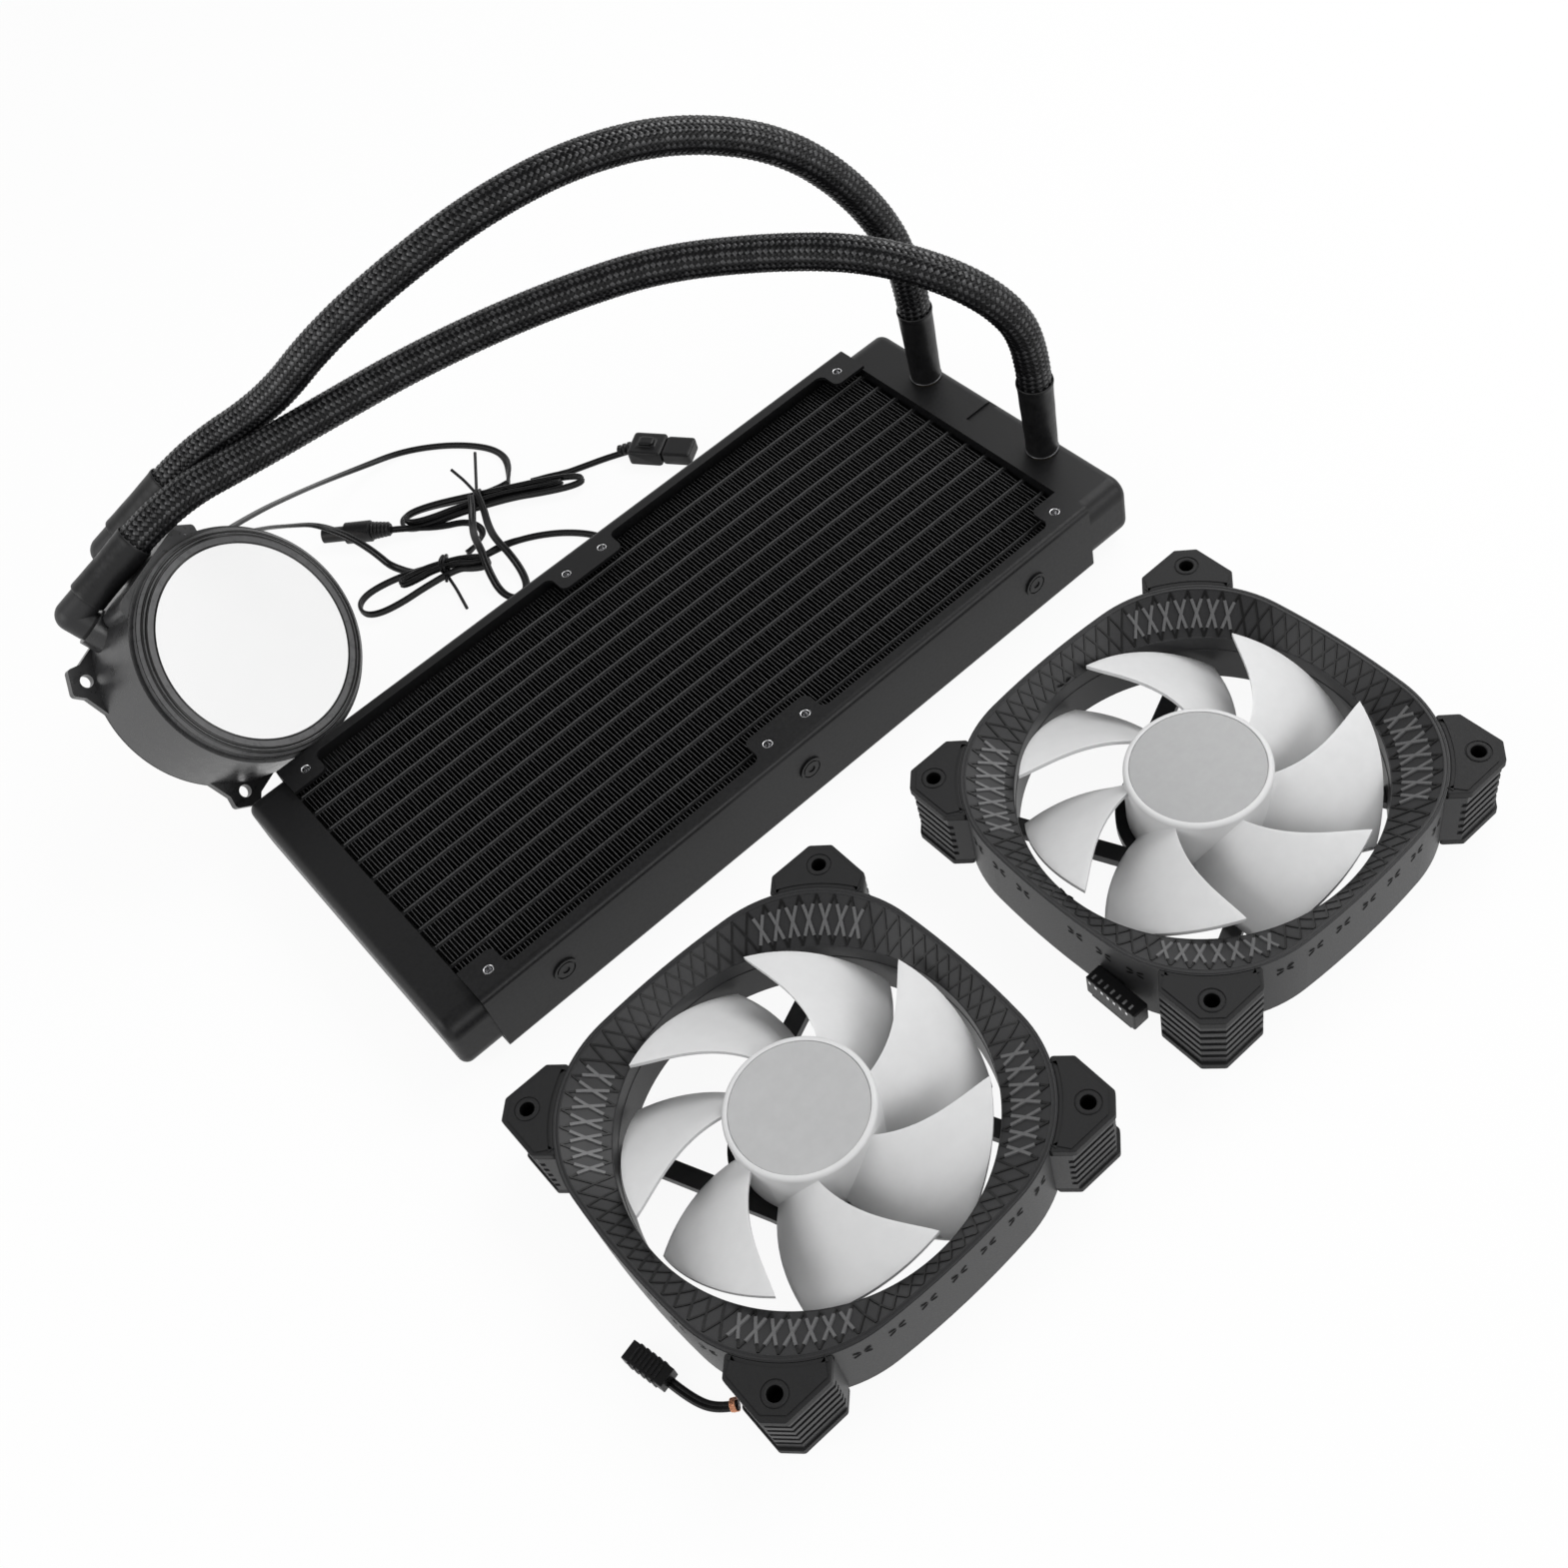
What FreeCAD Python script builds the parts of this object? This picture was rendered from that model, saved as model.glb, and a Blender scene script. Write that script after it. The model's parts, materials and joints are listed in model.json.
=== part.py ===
import FreeCAD, Part
import math
import os
import Sketcher
from FreeCAD import Placement, Rotation, Vector

# All-in-one liquid cooler, laid out on a table: a 240 mm radiator, two braided hoses, a round
# pump head that leans on its rim, its cables, and two loose 120 mm fans.
# Millimetres and degrees. The origin is the centre of the radiator's footprint on the table,
# +X runs along the radiator to the tank with the hoses, +Y to the pump head, +Z up.

SIZES = {
    # Radiator: two folded side channels with screw tabs
    "channel_length": 240.0,
    "channel_height": 27.0,
    "radiator_width": 120.0,
    "channel_sheet": 1.2,
    "channel_bend": 2.0,
    "flange_width": 4.8,
    "tab_reach": 13.2,
    "tab_half_length": 12.5,
    "tab_corner": 2.5,
    "fan_screw_pitch": 105.0,
    "fan_screw_gap": 15.0,
    "fan_screw_margin": 7.5,
    "screw_bore": 3.5,
    "rivet_spacing": 95.0,
    "rivet_head": 8.0,
    "rivet_head_height": 0.6,
    "rivet_ring": 5.5,
    "rivet_groove": 0.5,
    "rivet_recess": 2.5,
    "rivet_recess_depth": 0.35,
    "rivet_shank": 2.8,
    "rivet_grip": 2.4,
    "rivet_clearance": 0.1,
    # Radiator core: flat tubes and folded fins
    "tube_count": 12,
    "core_margin": 10.2,
    "tube_thickness": 1.8,
    "tube_height": 16.5,
    "tube_entry": 3.0,
    "tube_clearance": 0.05,
    "fin_wave": 16.0,
    "fin_sheet": 0.3,
    "fin_end_gap": 1.0,
    # Radiator tanks and hose ports
    "tank_height": 22.0,
    "tank_side_step": 0.5,
    "tank_edge": 6.0,
    "tank_wall": 1.8,
    "header_depth": 5.4,
    "hose_tank_depth": 12.1,
    "return_tank_depth": 8.4,
    "port_spacing": 55.8,
    "groove_width": 3.5,
    "groove_depth": 0.8,
    "port_collar_height": 0.6,
    "barb_radius": 3.8,
    "barb_ridge": 0.4,
    "barb_bore": 2.6,
    "barb_length": 24.0,
    "barb_clearance": 0.1,
    "barb_ridge_pitch": 3.0,
    "barb_ridge_length": 2.0,
    "radiator_sleeve_length": 28.0,
    "sleeve_bead": 1.2,
    "sleeve_bead_step": 0.2,
    "sleeve_bead_slope": 0.4,
    "sleeve_foot_radius": 5.2,
    "sleeve_top_radius": 5.85,
    # Hoses
    "hose_radius": 5.6,
    # Pump head: place of the lens centre, its turn and its tilt
    "pump_place_x": -99.7,
    "pump_place_y": 84.5,
    "pump_place_z": 52.85,
    "pump_turn": -61.1,
    "pump_tilt": 54.0,
    "pump_height": 35.1,
    "pump_foot_radius": 39.8,
    "pump_top_radius": 38.5,
    "pump_top_drop": 4.0,
    "pump_wall": 1.8,
    "pump_lip_radius": 33.0,
    "lens_radius": 31.6,
    "lens_thickness": 2.0,
    "lens_ledge": 2.1,
    "lens_clearance": 0.05,
    "bezel_radius": 37.0,
    "bezel_band": 34.3,
    "bezel_ridge": 35.7,
    "bezel_groove": 0.4,
    "guide_thickness": 3.0,
    "board_margin": 1.2,
    "board_thickness": 1.6,
    "diode_ring": 20.0,
    "diode_count": 8,
    "diode_width": 3.0,
    "can_radius": 13.0,
    "can_wall": 0.8,
    "can_height": 16.0,
    "can_flange_radius": 26.0,
    "can_flange_thickness": 1.2,
    "stator_radius": 24.0,
    "stator_rim": 3.0,
    "stator_height": 11.0,
    "stator_pole_width": 5.0,
    "stator_poles": 6,
    "stator_gap": 0.5,
    "plate_clearance": 0.1,
    "chamber_plate_thickness": 5.3,
    "volute_radius": 19.0,
    "volute_depth": 4.0,
    "rotor_magnet_radius": 11.4,
    "rotor_magnet_height": 12.5,
    "rotor_disc_radius": 17.0,
    "rotor_disc_thickness": 1.4,
    "rotor_vane_height": 1.8,
    "rotor_vanes": 6,
    "rotor_vane_width": 1.2,
    "rotor_running_gap": 0.5,
    "shaft_radius": 1.25,
    "shaft_clearance": 0.1,
    "shaft_seat": 1.0,
    "seal_radius": 28.5,
    "seal_width": 3.0,
    "seal_thickness": 0.8,
    "cold_plate_radius": 35.0,
    "cold_plate_thickness": 2.9,
    "cold_plate_stand": 0.9,
    "cold_plate_screw_ring": 32.0,
    "cold_plate_screws": 8,
    "plate_screw_head": 1.9,
    "plate_screw_shank": 1.0,
    "plate_screw_length": 5.0,
    "plate_screw_head_height": 1.1,
    "ear_pitch": 60.0,
    "ear_edge": 5.1736,
    "ear_tip_half_width": 4.2,
    "ear_waist_edge": 1.1736,
    "ear_waist_half_width": 5.4,
    "ear_root_half_width": 12.6,
    "ear_corner": 1.5,
    "ear_bore": 2.1,
    "ear_thickness": 3.0,
    "shoulder_stand": 0.5,
    "shoulder_half_width": 17.0,
    "shoulder_top_drop": 4.2,
    "shoulder_height": 14.0,
    "shoulder_round": 3.0,
    # Pump ports: two elbows in bosses on the upper side of the housing
    "port_turn": 6.0,
    "port_half_spacing": 12.5,
    "port_drop": 26.0,
    "port_boss_radius": 6.3,
    "port_boss_stand": 0.8,
    "port_seal_thickness": 0.8,
    "port_seal_radius": 4.9,
    "elbow_inlet": 5.6,
    "elbow_radius": 5.2,
    "elbow_leg": 7.0,
    "elbow_front_lift": 40.0,
    "elbow_rear_lift": 50.0,
    "spigot_radius": 4.1,
    "spigot_length": 2.6,
    "spigot_clearance": 0.1,
    "pump_sleeve_radius": 6.1,
    "pump_sleeve_length": 23.0,
    # Fans
    "fan_width": 119.2,
    "fan_thickness": 25.0,
    "fan_left_x": -77.2,
    "fan_left_y": -147.9,
    "fan_right_x": 70.0,
    "fan_right_y": -150.5,
    "fan_left_turn": 16.5,
    "fan_right_turn": -20.3,
    "side_arc": 260.0,
    "corner_arc": 39.4,
    "duct_radius": 51.9,
    "rim_edge": 1.5,
    "flare_depth": 7.0,
    "pad_chamfer": 4.6,
    "pad_length": 18.8,
    "pad_slant": 4.1,
    "pad_thickness": 2.4,
    "pad_bore": 2.15,
    "tower_inset": 0.6,
    "tower_slots": 5,
    "tower_slot_height": 1.6,
    "tower_slot_pitch": 3.3,
    "tower_slot_depth": 1.0,
    "strut_width": 5.4,
    "strut_height": 3.0,
    "strut_offset": 21.2,
    "strut_angle": 23.6,
    "motor_base_radius": 24.0,
    "bearing_tube_radius": 6.0,
    "bearing_tube_height": 14.0,
    "bearing_radius": 4.5,
    "bearing_length": 13.0,
    "fan_shaft_radius": 1.5,
    "fan_board_radius": 16.0,
    "fan_board_thickness": 1.2,
    "fan_stator_height": 8.0,
    "fan_stator_rim": 2.5,
    "fan_stator_radius": 16.4,
    "fan_pole_width": 4.4,
    "fan_poles": 4,
    "fan_shoe_half_width": 6.0,
    "fan_shoe_depth": 1.8,
    "fan_fit": 0.05,
    "hub_radius": 20.8,
    "hub_wall": 1.3,
    "hub_top_thickness": 1.6,
    "hub_rounding": 1.2,
    "hub_running_gap": 1.5,
    "hub_boss_radius": 3.2,
    "hub_boss_height": 3.0,
    "cap_radius": 19.0,
    "cap_thickness": 0.6,
    "cap_gap": 0.15,
    "cap_drop": 0.25,
    "magnet_thickness": 1.8,
    "magnet_height": 11.0,
    "blade_count": 7,
    "blade_tip_radius": 50.0,
    "blade_thickness": 1.6,
    "blade_top": 23.3,
    "blade_bottom": 7.0,
    "blade_camber": 2.2,
    # Cables
    "lead_radius": 1.4,
    "hank_height": 6.0,
    "tie_sheet": 0.8,
    "tie_width": 3.2,
    "tie_half_span": 3.4,
    "waist_overlap": 0.2,
    "floor_gap": 0.1,
    # Plugs
    "barrel_x": -30.0,
    "barrel_y": 145.0,
    "barrel_axis_height": 4.1,
    "barrel_turn": 136.74,
    "barrel_relief_radius": 2.0,
    "barrel_collar_radius": 2.9,
    "barrel_relief_length": 7.0,
    "barrel_grip_radius": 3.9,
    "barrel_grip_end": 17.0,
    "barrel_tip_radius": 2.75,
    "barrel_length": 26.0,
    "joint_x": 53.7,
    "joint_y": 106.0,
    "joint_turn": -56.37,
    "socket_length": 13.0,
    "socket_width": 11.0,
    "socket_height": 6.0,
    "guide_length": 6.0,
    "guide_width": 4.0,
    "guide_height": 1.6,
    "joint_plug_length": 11.0,
    "joint_plug_width": 9.6,
    "joint_plug_height": 5.2,
    "power_plug_x": 24.0,
    "power_plug_y": 68.4,
    "power_plug_length": 24.0,
    "power_plug_width": 12.0,
    "power_plug_height": 5.4,
    "fan_plug_x": -146.0,
    "fan_plug_y": -170.4,
    "fan_plug_turn": 102.18,
    "fan_plug_length": 13.6,
    "fan_plug_width": 5.6,
    "fan_plug_height": 4.6,
    "fan_plug_ribs": 5,
    "fan_plug_rib_width": 6.2,
    "fan_plug_rib_thickness": 0.9,
    "fan_plug_rib_pitch": 2.0,
    "fan_plug_rib_start": 3.0,
    "side_plug_x": -61.75,
    "side_plug_y": -27.0,
    "side_plug_lift": 3.4,
    "side_plug_thickness": 5.4,
    "side_plug_length": 18.0,
    "side_plug_height": 7.6,
    "ribbon_width": 14.0,
    "ribbon_bend": 2.75,
    "ribbon_sheet": 0.7,
}

doc = FreeCAD.newDocument("Cooler")
sheet = doc.addObject("Spreadsheet::Sheet", "Sizes")
for row, (alias, number) in enumerate(SIZES.items(), start=1):
    sheet.set("A%d" % row, alias)
    sheet.set("B%d" % row, str(number))
    sheet.setAlias("B%d" % row, alias)
doc.recompute()


class Size:
    """A length, count or angle together with the sheet formula that gives it."""

    def __init__(self, value, formula):
        self.value = float(value)
        self.formula = formula

    def _join(self, other, sign, value):
        return Size(value, "(%s %s %s)" % (self.formula, sign, size(other).formula))

    def __add__(self, other):
        return self._join(other, "+", self.value + size(other).value)

    def __sub__(self, other):
        return self._join(other, "-", self.value - size(other).value)

    def __mul__(self, other):
        return self._join(other, "*", self.value * size(other).value)

    def __truediv__(self, other):
        return self._join(other, "/", self.value / size(other).value)

    def __radd__(self, other):
        return size(other) + self

    def __rsub__(self, other):
        return size(other) - self

    def __rmul__(self, other):
        return size(other) * self

    def __neg__(self):
        return Size(-self.value, "(-1 * %s)" % self.formula)

    def __float__(self):
        return self.value


def size(number):
    """A Size as it is, or a plain number as a Size."""
    if isinstance(number, Size):
        return number
    return Size(number, "%.6f" % number)


class SheetSizes:
    """The sheet's cells by name."""

    def __getattr__(self, name):
        return Size(SIZES[name], "Sizes." + name)


S = SheetSizes()
nodes = []


def vec(x, y, z):
    return Vector(float(x), float(y), float(z))


def node(thing, label, placement=None):
    """Gives a finished sub-part its label and its place."""
    thing.Label = label
    if placement is not None:
        thing.Placement = placement.multiply(thing.Placement)
    nodes.append(thing)
    return thing


# PartDesign bodies: sketches on the body's own planes, with every point bound to the sheet


def new_body(name):
    return doc.addObject("PartDesign::Body", name + "_body")


def origin_feature(body, role):
    return next(item for item in body.Origin.OriginFeatures if item.Role == role)


def new_sketch(body, role="XY_Plane", offset=0.0, turn=0.0):
    """A sketch on an origin plane, moved along its normal and turned about its upright axis."""
    sketch = body.newObject("Sketcher::SketchObject", "sketch")
    sketch.AttachmentSupport = [(origin_feature(body, role), "")]
    sketch.MapMode = "FlatFace"
    turned = Rotation(Vector(0, 1, 0), float(turn))
    shift = turned.multVec(Vector(0, 0, float(offset)))
    sketch.AttachmentOffset = Placement(shift, turned)
    if float(turn) == 0.0:
        sketch.setExpression("AttachmentOffset.Base.z", size(offset).formula)
    return sketch


def pin_point(sketch, element, spot, x, y):
    """Binds one point of a sketch element to its two coordinates."""
    for kind, coordinate in (("DistanceX", size(x)), ("DistanceY", size(y))):
        rule = Sketcher.Constraint(kind, -1, 1, element, spot, coordinate.value)
        index = sketch.addConstraint(rule)
        sketch.setExpression("Constraints[%d]" % index, coordinate.formula)


def draw_polygon(sketch, points):
    first = sketch.GeometryCount
    count = len(points)
    for index, (x, y) in enumerate(points):
        end_x, end_y = points[(index + 1) % count]
        line = Part.LineSegment(vec(x, y, 0), vec(end_x, end_y, 0))
        sketch.addGeometry(line, False)
    for index in range(count):
        following = first + (index + 1) % count
        sketch.addConstraint(Sketcher.Constraint("Coincident", first + index, 2, following, 1))
    for index, (x, y) in enumerate(points):
        pin_point(sketch, first + index, 1, x, y)


def draw_circle(sketch, x, y, radius):
    circle = Part.Circle(vec(x, y, 0), Vector(0, 0, 1), float(radius))
    element = sketch.addGeometry(circle, False)
    pin_point(sketch, element, 3, x, y)
    index = sketch.addConstraint(Sketcher.Constraint("Radius", element, float(radius)))
    sketch.setExpression("Constraints[%d]" % index, size(radius).formula)


def draw_box(sketch, left, right, low, high):
    draw_polygon(sketch, [(left, low), (right, low), (right, high), (left, high)])


def volume_of(body):
    return body.Tip.Shape.Volume if body.Tip is not None and not body.Tip.Shape.isNull() else 0.0


def add_length_feature(body, kind, sketch, length, reverse):
    before = volume_of(body)
    feature = body.newObject("PartDesign::" + kind, kind.lower())
    feature.Profile = sketch
    feature.Reversed = reverse
    feature.setExpression("Length", size(length).formula)
    doc.recompute()
    changed = feature.Shape.Volume - before
    if kind == "Pad" and changed <= 0 or kind == "Pocket" and changed >= 0:
        raise RuntimeError("%s of %s changed the volume by %.3f" % (kind, body.Name, changed))
    return feature


def pad(body, sketch, length, reverse=False):
    return add_length_feature(body, "Pad", sketch, length, reverse)


def pocket(body, sketch, length, reverse=False):
    return add_length_feature(body, "Pocket", sketch, length, reverse)


def turn_profile(body, points, kind="Revolution"):
    """Turns a closed outline of (radius, height) points about the body's Z axis."""
    sketch = new_sketch(body, "XZ_Plane")
    draw_polygon(sketch, points)
    feature = body.newObject("PartDesign::" + kind, kind.lower())
    feature.Profile = sketch
    feature.ReferenceAxis = (sketch, ["V_Axis"])
    feature.Angle = 360
    doc.recompute()
    return feature


def turned_body(name, points):
    body = new_body(name)
    turn_profile(body, points)
    return body


def repeat_round(body, features, count):
    pattern = body.newObject("PartDesign::PolarPattern", "round")
    pattern.Originals = features
    pattern.Axis = (origin_feature(body, "Z_Axis"), [""])
    pattern.Angle = 360
    pattern.setExpression("Occurrences", size(count).formula)
    body.Tip = pattern
    doc.recompute()
    return pattern


def round_edges(body, radius, wanted):
    """Fillets the edges of the finished body that the test picks."""
    base = body.Tip
    names = ["Edge%d" % k for k, edge in enumerate(base.Shape.Edges, start=1) if wanted(edge)]
    fillet = body.newObject("PartDesign::Fillet", "rounding")
    fillet.Base = (base, names)
    fillet.setExpression("Radius", size(radius).formula)
    doc.recompute()
    if fillet.Shape.isNull():
        raise RuntimeError("the rounding of %s failed" % body.Name)
    return fillet


def runs_along(edge, axis):
    """True where an edge is straight and parallel to an axis."""
    if len(edge.Vertexes) != 2 or edge.Curve.TypeId != "Part::GeomLine":
        return False
    way = edge.Vertexes[1].Point - edge.Vertexes[0].Point
    return abs(abs(way.dot(axis)) - way.Length) < 1e-6


def near(a, b):
    return abs(float(a) - float(b)) < 0.01


# Part primitives and booleans


def rod(radius, length, start, way):
    """A cylinder from a point along a direction."""
    cylinder = doc.addObject("Part::Cylinder", "rod")
    cylinder.setExpression("Radius", size(radius).formula)
    cylinder.setExpression("Height", size(length).formula)
    cylinder.Placement = Placement(start, Rotation(Vector(0, 0, 1), way))
    return cylinder


def block(length, width, height, middle, turn=0.0):
    """A box that stands on its middle point, turned about the upright axis."""
    box = doc.addObject("Part::Box", "block")
    box.setExpression("Length", size(length).formula)
    box.setExpression("Width", size(width).formula)
    box.setExpression("Height", size(height).formula)
    turned = Rotation(Vector(0, 0, 1), float(turn))
    corner = turned.multVec(Vector(-float(length) / 2, -float(width) / 2, 0))
    box.Placement = Placement(middle + corner, turned)
    return box


def fuse(*shapes):
    joined = doc.addObject("Part::MultiFuse", "joined")
    joined.Shapes = list(shapes)
    joined.Refine = False
    return joined


def cut(base, *tools):
    tool = tools[0] if len(tools) == 1 else fuse(*tools)
    result = doc.addObject("Part::Cut", "trimmed")
    result.Base = base
    result.Tool = tool
    return result


def copies(thing, placements):
    """One piece repeated at several places, as one compound."""
    group = doc.addObject("Part::Compound", "set")
    links = []
    for placement in placements:
        link = doc.addObject("App::Link", "copy")
        link.LinkedObject = thing
        link.LinkTransform = True
        link.Placement = placement
        links.append(link)
    group.Links = links
    return group


def free_shape(name, shape):
    feature = doc.addObject("Part::Feature", name)
    feature.Shape = shape
    return feature


X_WAY = Vector(1, 0, 0)
Y_WAY = Vector(0, 1, 0)
Z_WAY = Vector(0, 0, 1)
HALF_TURN = Rotation(Z_WAY, 180)
STILL = Placement()

# Radiator

core_middle = S.channel_height / 2
tank_bottom = (S.channel_height - S.tank_height) / 2
tank_top = tank_bottom + S.tank_height
channel_half = S.channel_length / 2
header_end = channel_half + S.header_depth
half_width = S.radiator_width / 2
tank_width = S.radiator_width - S.tank_side_step * 2
tube_pitch = (tank_width - S.core_margin * 2 - S.tube_thickness) / (SIZES["tube_count"] - 1)


def side_channel(name, placement):
    """A folded sheet with a web, two flanges and screw tabs on both flanges."""
    body = new_body(name)
    profile = new_sketch(body, "YZ_Plane", -channel_half)
    outside = -half_width
    inside = outside + S.channel_sheet
    edge = outside + S.tab_reach
    top = S.channel_height
    draw_polygon(profile, [
        (outside, size(0)), (edge, size(0)), (edge, S.channel_sheet), (inside, S.channel_sheet),
        (inside, top - S.channel_sheet), (edge, top - S.channel_sheet), (edge, top), (outside, top)])
    pad(body, profile, S.channel_length)
    round_edges(body, S.channel_bend, lambda e: runs_along(e, X_WAY) and near(e.BoundBox.YMin, outside))
    round_edges(body, S.channel_bend - S.channel_sheet,
                lambda e: runs_along(e, X_WAY) and near(e.BoundBox.YMin, inside)
                and 0.5 < e.BoundBox.ZMin < float(top) - 0.5)

    notches = new_sketch(body, "XY_Plane", top)
    shoulder = outside + S.flange_width
    end_tab = channel_half - S.tab_half_length
    draw_box(notches, S.tab_half_length, end_tab, shoulder, edge + 1)
    draw_box(notches, -end_tab, -S.tab_half_length, shoulder, edge + 1)
    pocket(body, notches, top)
    round_edges(body, S.tab_corner, lambda e: runs_along(e, Z_WAY)
                and (near(abs(e.BoundBox.XMin), S.tab_half_length) or near(abs(e.BoundBox.XMin), end_tab)))

    holes = new_sketch(body, "XY_Plane", top)
    for side in (-1, 1):
        for x in (S.fan_screw_gap / 2, S.fan_screw_gap / 2 + S.fan_screw_pitch):
            draw_circle(holes, x * side, outside + S.fan_screw_margin, S.screw_bore / 2)
    pocket(body, holes, top)

    rivets = new_sketch(body, "XZ_Plane", half_width)
    for step in (-1, 0, 1):
        draw_circle(rivets, S.rivet_spacing * step, core_middle, S.rivet_shank / 2 + S.rivet_clearance)
    pocket(body, rivets, S.channel_sheet * 2)
    return node(body, name, placement)


side_channel("channel_front", STILL)
side_channel("channel_rear", Placement(Vector(), HALF_TURN))


def side_rivets():
    """Six flat rivets through the webs of the channels, with a ring and a recess in each head."""
    grip = S.rivet_grip
    head = S.rivet_head / 2
    ring_edge = S.rivet_ring / 2
    recess = S.rivet_recess / 2
    top = S.rivet_head_height
    low = top - S.rivet_recess_depth
    rivet = turned_body("rivet", [
        (size(0), -grip), (S.rivet_shank / 2, -grip), (S.rivet_shank / 2, size(0)), (head, size(0)),
        (head, top), (ring_edge + S.rivet_groove, top), (ring_edge + S.rivet_groove, low),
        (ring_edge, low), (ring_edge, top), (recess, top), (recess, low), (size(0), low)])
    places = []
    for side, way in ((-1, -Y_WAY), (1, Y_WAY)):
        for step in (-1, 0, 1):
            place = vec(S.rivet_spacing * step, half_width * side, core_middle)
            places.append(Placement(place, Rotation(Z_WAY, way)))
    node(copies(rivet, places), "side_rivets")


side_rivets()


def tube_rows():
    """Y positions of the middle of each flat tube."""
    count = int(SIZES["tube_count"])
    return [tube_pitch * (k - (count - 1) / 2) for k in range(count)]


def radiator_tubes():
    """Flat tubes with round narrow sides, from tank to tank."""
    body = new_body("flat_tube")
    reach = channel_half + S.tube_entry
    face = new_sketch(body, "YZ_Plane", -reach)
    half = S.tube_thickness / 2
    draw_box(face, -half, half, core_middle - S.tube_height / 2, core_middle + S.tube_height / 2)
    pad(body, face, reach * 2)
    round_edges(body, half * 0.9, lambda e: runs_along(e, X_WAY))
    places = [Placement(vec(0, y, 0), Rotation()) for y in tube_rows()]
    node(copies(body, places), "radiator_tubes")


radiator_tubes()


def radiator_fins():
    """One folded strip between each two tubes and one outside the outer tubes."""
    width = tube_pitch - S.tube_thickness
    half = float(width) / 2
    reach = float(channel_half - S.fin_end_gap)
    folds = int(2 * 2 * reach / SIZES["fin_wave"])
    step = 2 * reach / folds
    lean = math.hypot(step, 2 * half) / (2 * half)
    thick = SIZES["fin_sheet"] * lean
    inner = half * (1 - thick / step)
    near_side = []
    far_side = []
    for k in range(folds + 1):
        x = -reach + k * step
        sign = 1 if k % 2 else -1
        near_side.append(Vector(x, half * sign if sign < 0 else inner, 0))
        far_side.append(Vector(x, half * sign if sign > 0 else -inner, 0))
    outline = Part.makePolygon(near_side + far_side[::-1] + near_side[:1])
    strip = free_shape("fin_strip", Part.Face(outline).extrude(vec(0, 0, S.tube_height)))
    rows = tube_rows()
    centres = [rows[0] - tube_pitch / 2] + [y + tube_pitch / 2 for y in rows]
    low = core_middle - S.tube_height / 2
    node(copies(strip, [Placement(vec(0, y, low), Rotation()) for y in centres]), "radiator_fins")


radiator_fins()


def tank_section(body, offset, depth):
    """A block of the tanks' outline, rounded along its four long edges."""
    face = new_sketch(body, "YZ_Plane", offset)
    draw_box(face, -(tank_width / 2), tank_width / 2, tank_bottom, tank_top)
    pad(body, face, depth)
    round_edges(body, S.tank_edge, lambda e: runs_along(e, X_WAY))


def header(name, placement):
    """The plate between core and tank, with a slot for each tube's end."""
    body = new_body(name)
    tank_section(body, channel_half, S.header_depth)
    slots = new_sketch(body, "YZ_Plane", header_end)
    half = S.tube_thickness / 2 + S.tube_clearance
    reach = S.tube_height / 2 + S.tube_clearance
    for y in tube_rows():
        draw_box(slots, y - half, y + half, core_middle - reach, core_middle + reach)
    pocket(body, slots, S.header_depth)
    return node(body, name, placement)


header("header_hose_end", STILL)
header("header_return", Placement(Vector(), HALF_TURN))


def hollow_tank(name, depth):
    body = new_body(name)
    tank_section(body, header_end, depth)
    end = float(header_end + depth)
    round_edges(body, S.tank_edge / 2, lambda e: near(e.BoundBox.XMin, end) and near(e.BoundBox.XMax, end))
    hollow = new_sketch(body, "YZ_Plane", header_end)
    wall = S.tank_wall
    side = tank_width / 2 - S.tank_edge / 2 - wall
    draw_box(hollow, -side, side, tank_bottom + wall, tank_top - wall)
    pocket(body, hollow, depth - wall, True)
    return body


port_x = header_end + S.hose_tank_depth / 2
port_places = [vec(port_x, -(S.port_spacing / 2), tank_top), vec(port_x, S.port_spacing / 2, tank_top)]


def tank_hose_end():
    """The tank with the two ports and a shallow groove across its top."""
    body = hollow_tank("tank_hose_end", S.hose_tank_depth)
    groove = new_sketch(body, "XY_Plane", tank_top)
    draw_box(groove, header_end, header_end + S.hose_tank_depth, -(S.groove_width / 2), S.groove_width / 2)
    pocket(body, groove, S.groove_depth)
    ports = new_sketch(body, "XY_Plane", tank_top)
    for side in (-1, 1):
        draw_circle(ports, port_x, S.port_spacing / 2 * side, S.barb_radius + S.barb_clearance)
    pocket(body, ports, S.tank_wall)
    node(body, "tank_hose_end")


tank_hose_end()
node(hollow_tank("tank_return", S.return_tank_depth), "tank_return", Placement(Vector(), HALF_TURN))

collar_top = S.port_collar_height
sleeve_bore = S.barb_radius + S.barb_ridge + S.barb_clearance


def barb_outline(start, end):
    """Half section of a hose barb with three ridges near its end."""
    plain = S.barb_radius
    ridge = S.barb_radius + S.barb_ridge
    points = [(S.barb_bore, start), (plain, start)]
    for step in (3, 2, 1):
        foot = end - S.barb_ridge_pitch * step
        points += [(plain, foot), (ridge, foot), (plain, foot + S.barb_ridge_length)]
    return points + [(plain, end), (S.barb_bore, end)]


def hose_barbs():
    """The two ports' barbs, each with a collar on the tank's top."""
    outline = barb_outline(-S.tank_wall, collar_top + S.barb_length)
    collar = [(S.sleeve_foot_radius, size(0)), (S.sleeve_foot_radius, collar_top),
              (S.barb_radius, collar_top)]
    points = outline[:2] + [(S.barb_radius, size(0))] + collar + outline[2:]
    barb = turned_body("barb", points)
    node(copies(barb, [Placement(place, Rotation()) for place in port_places]), "hose_barbs")


hose_barbs()


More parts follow.
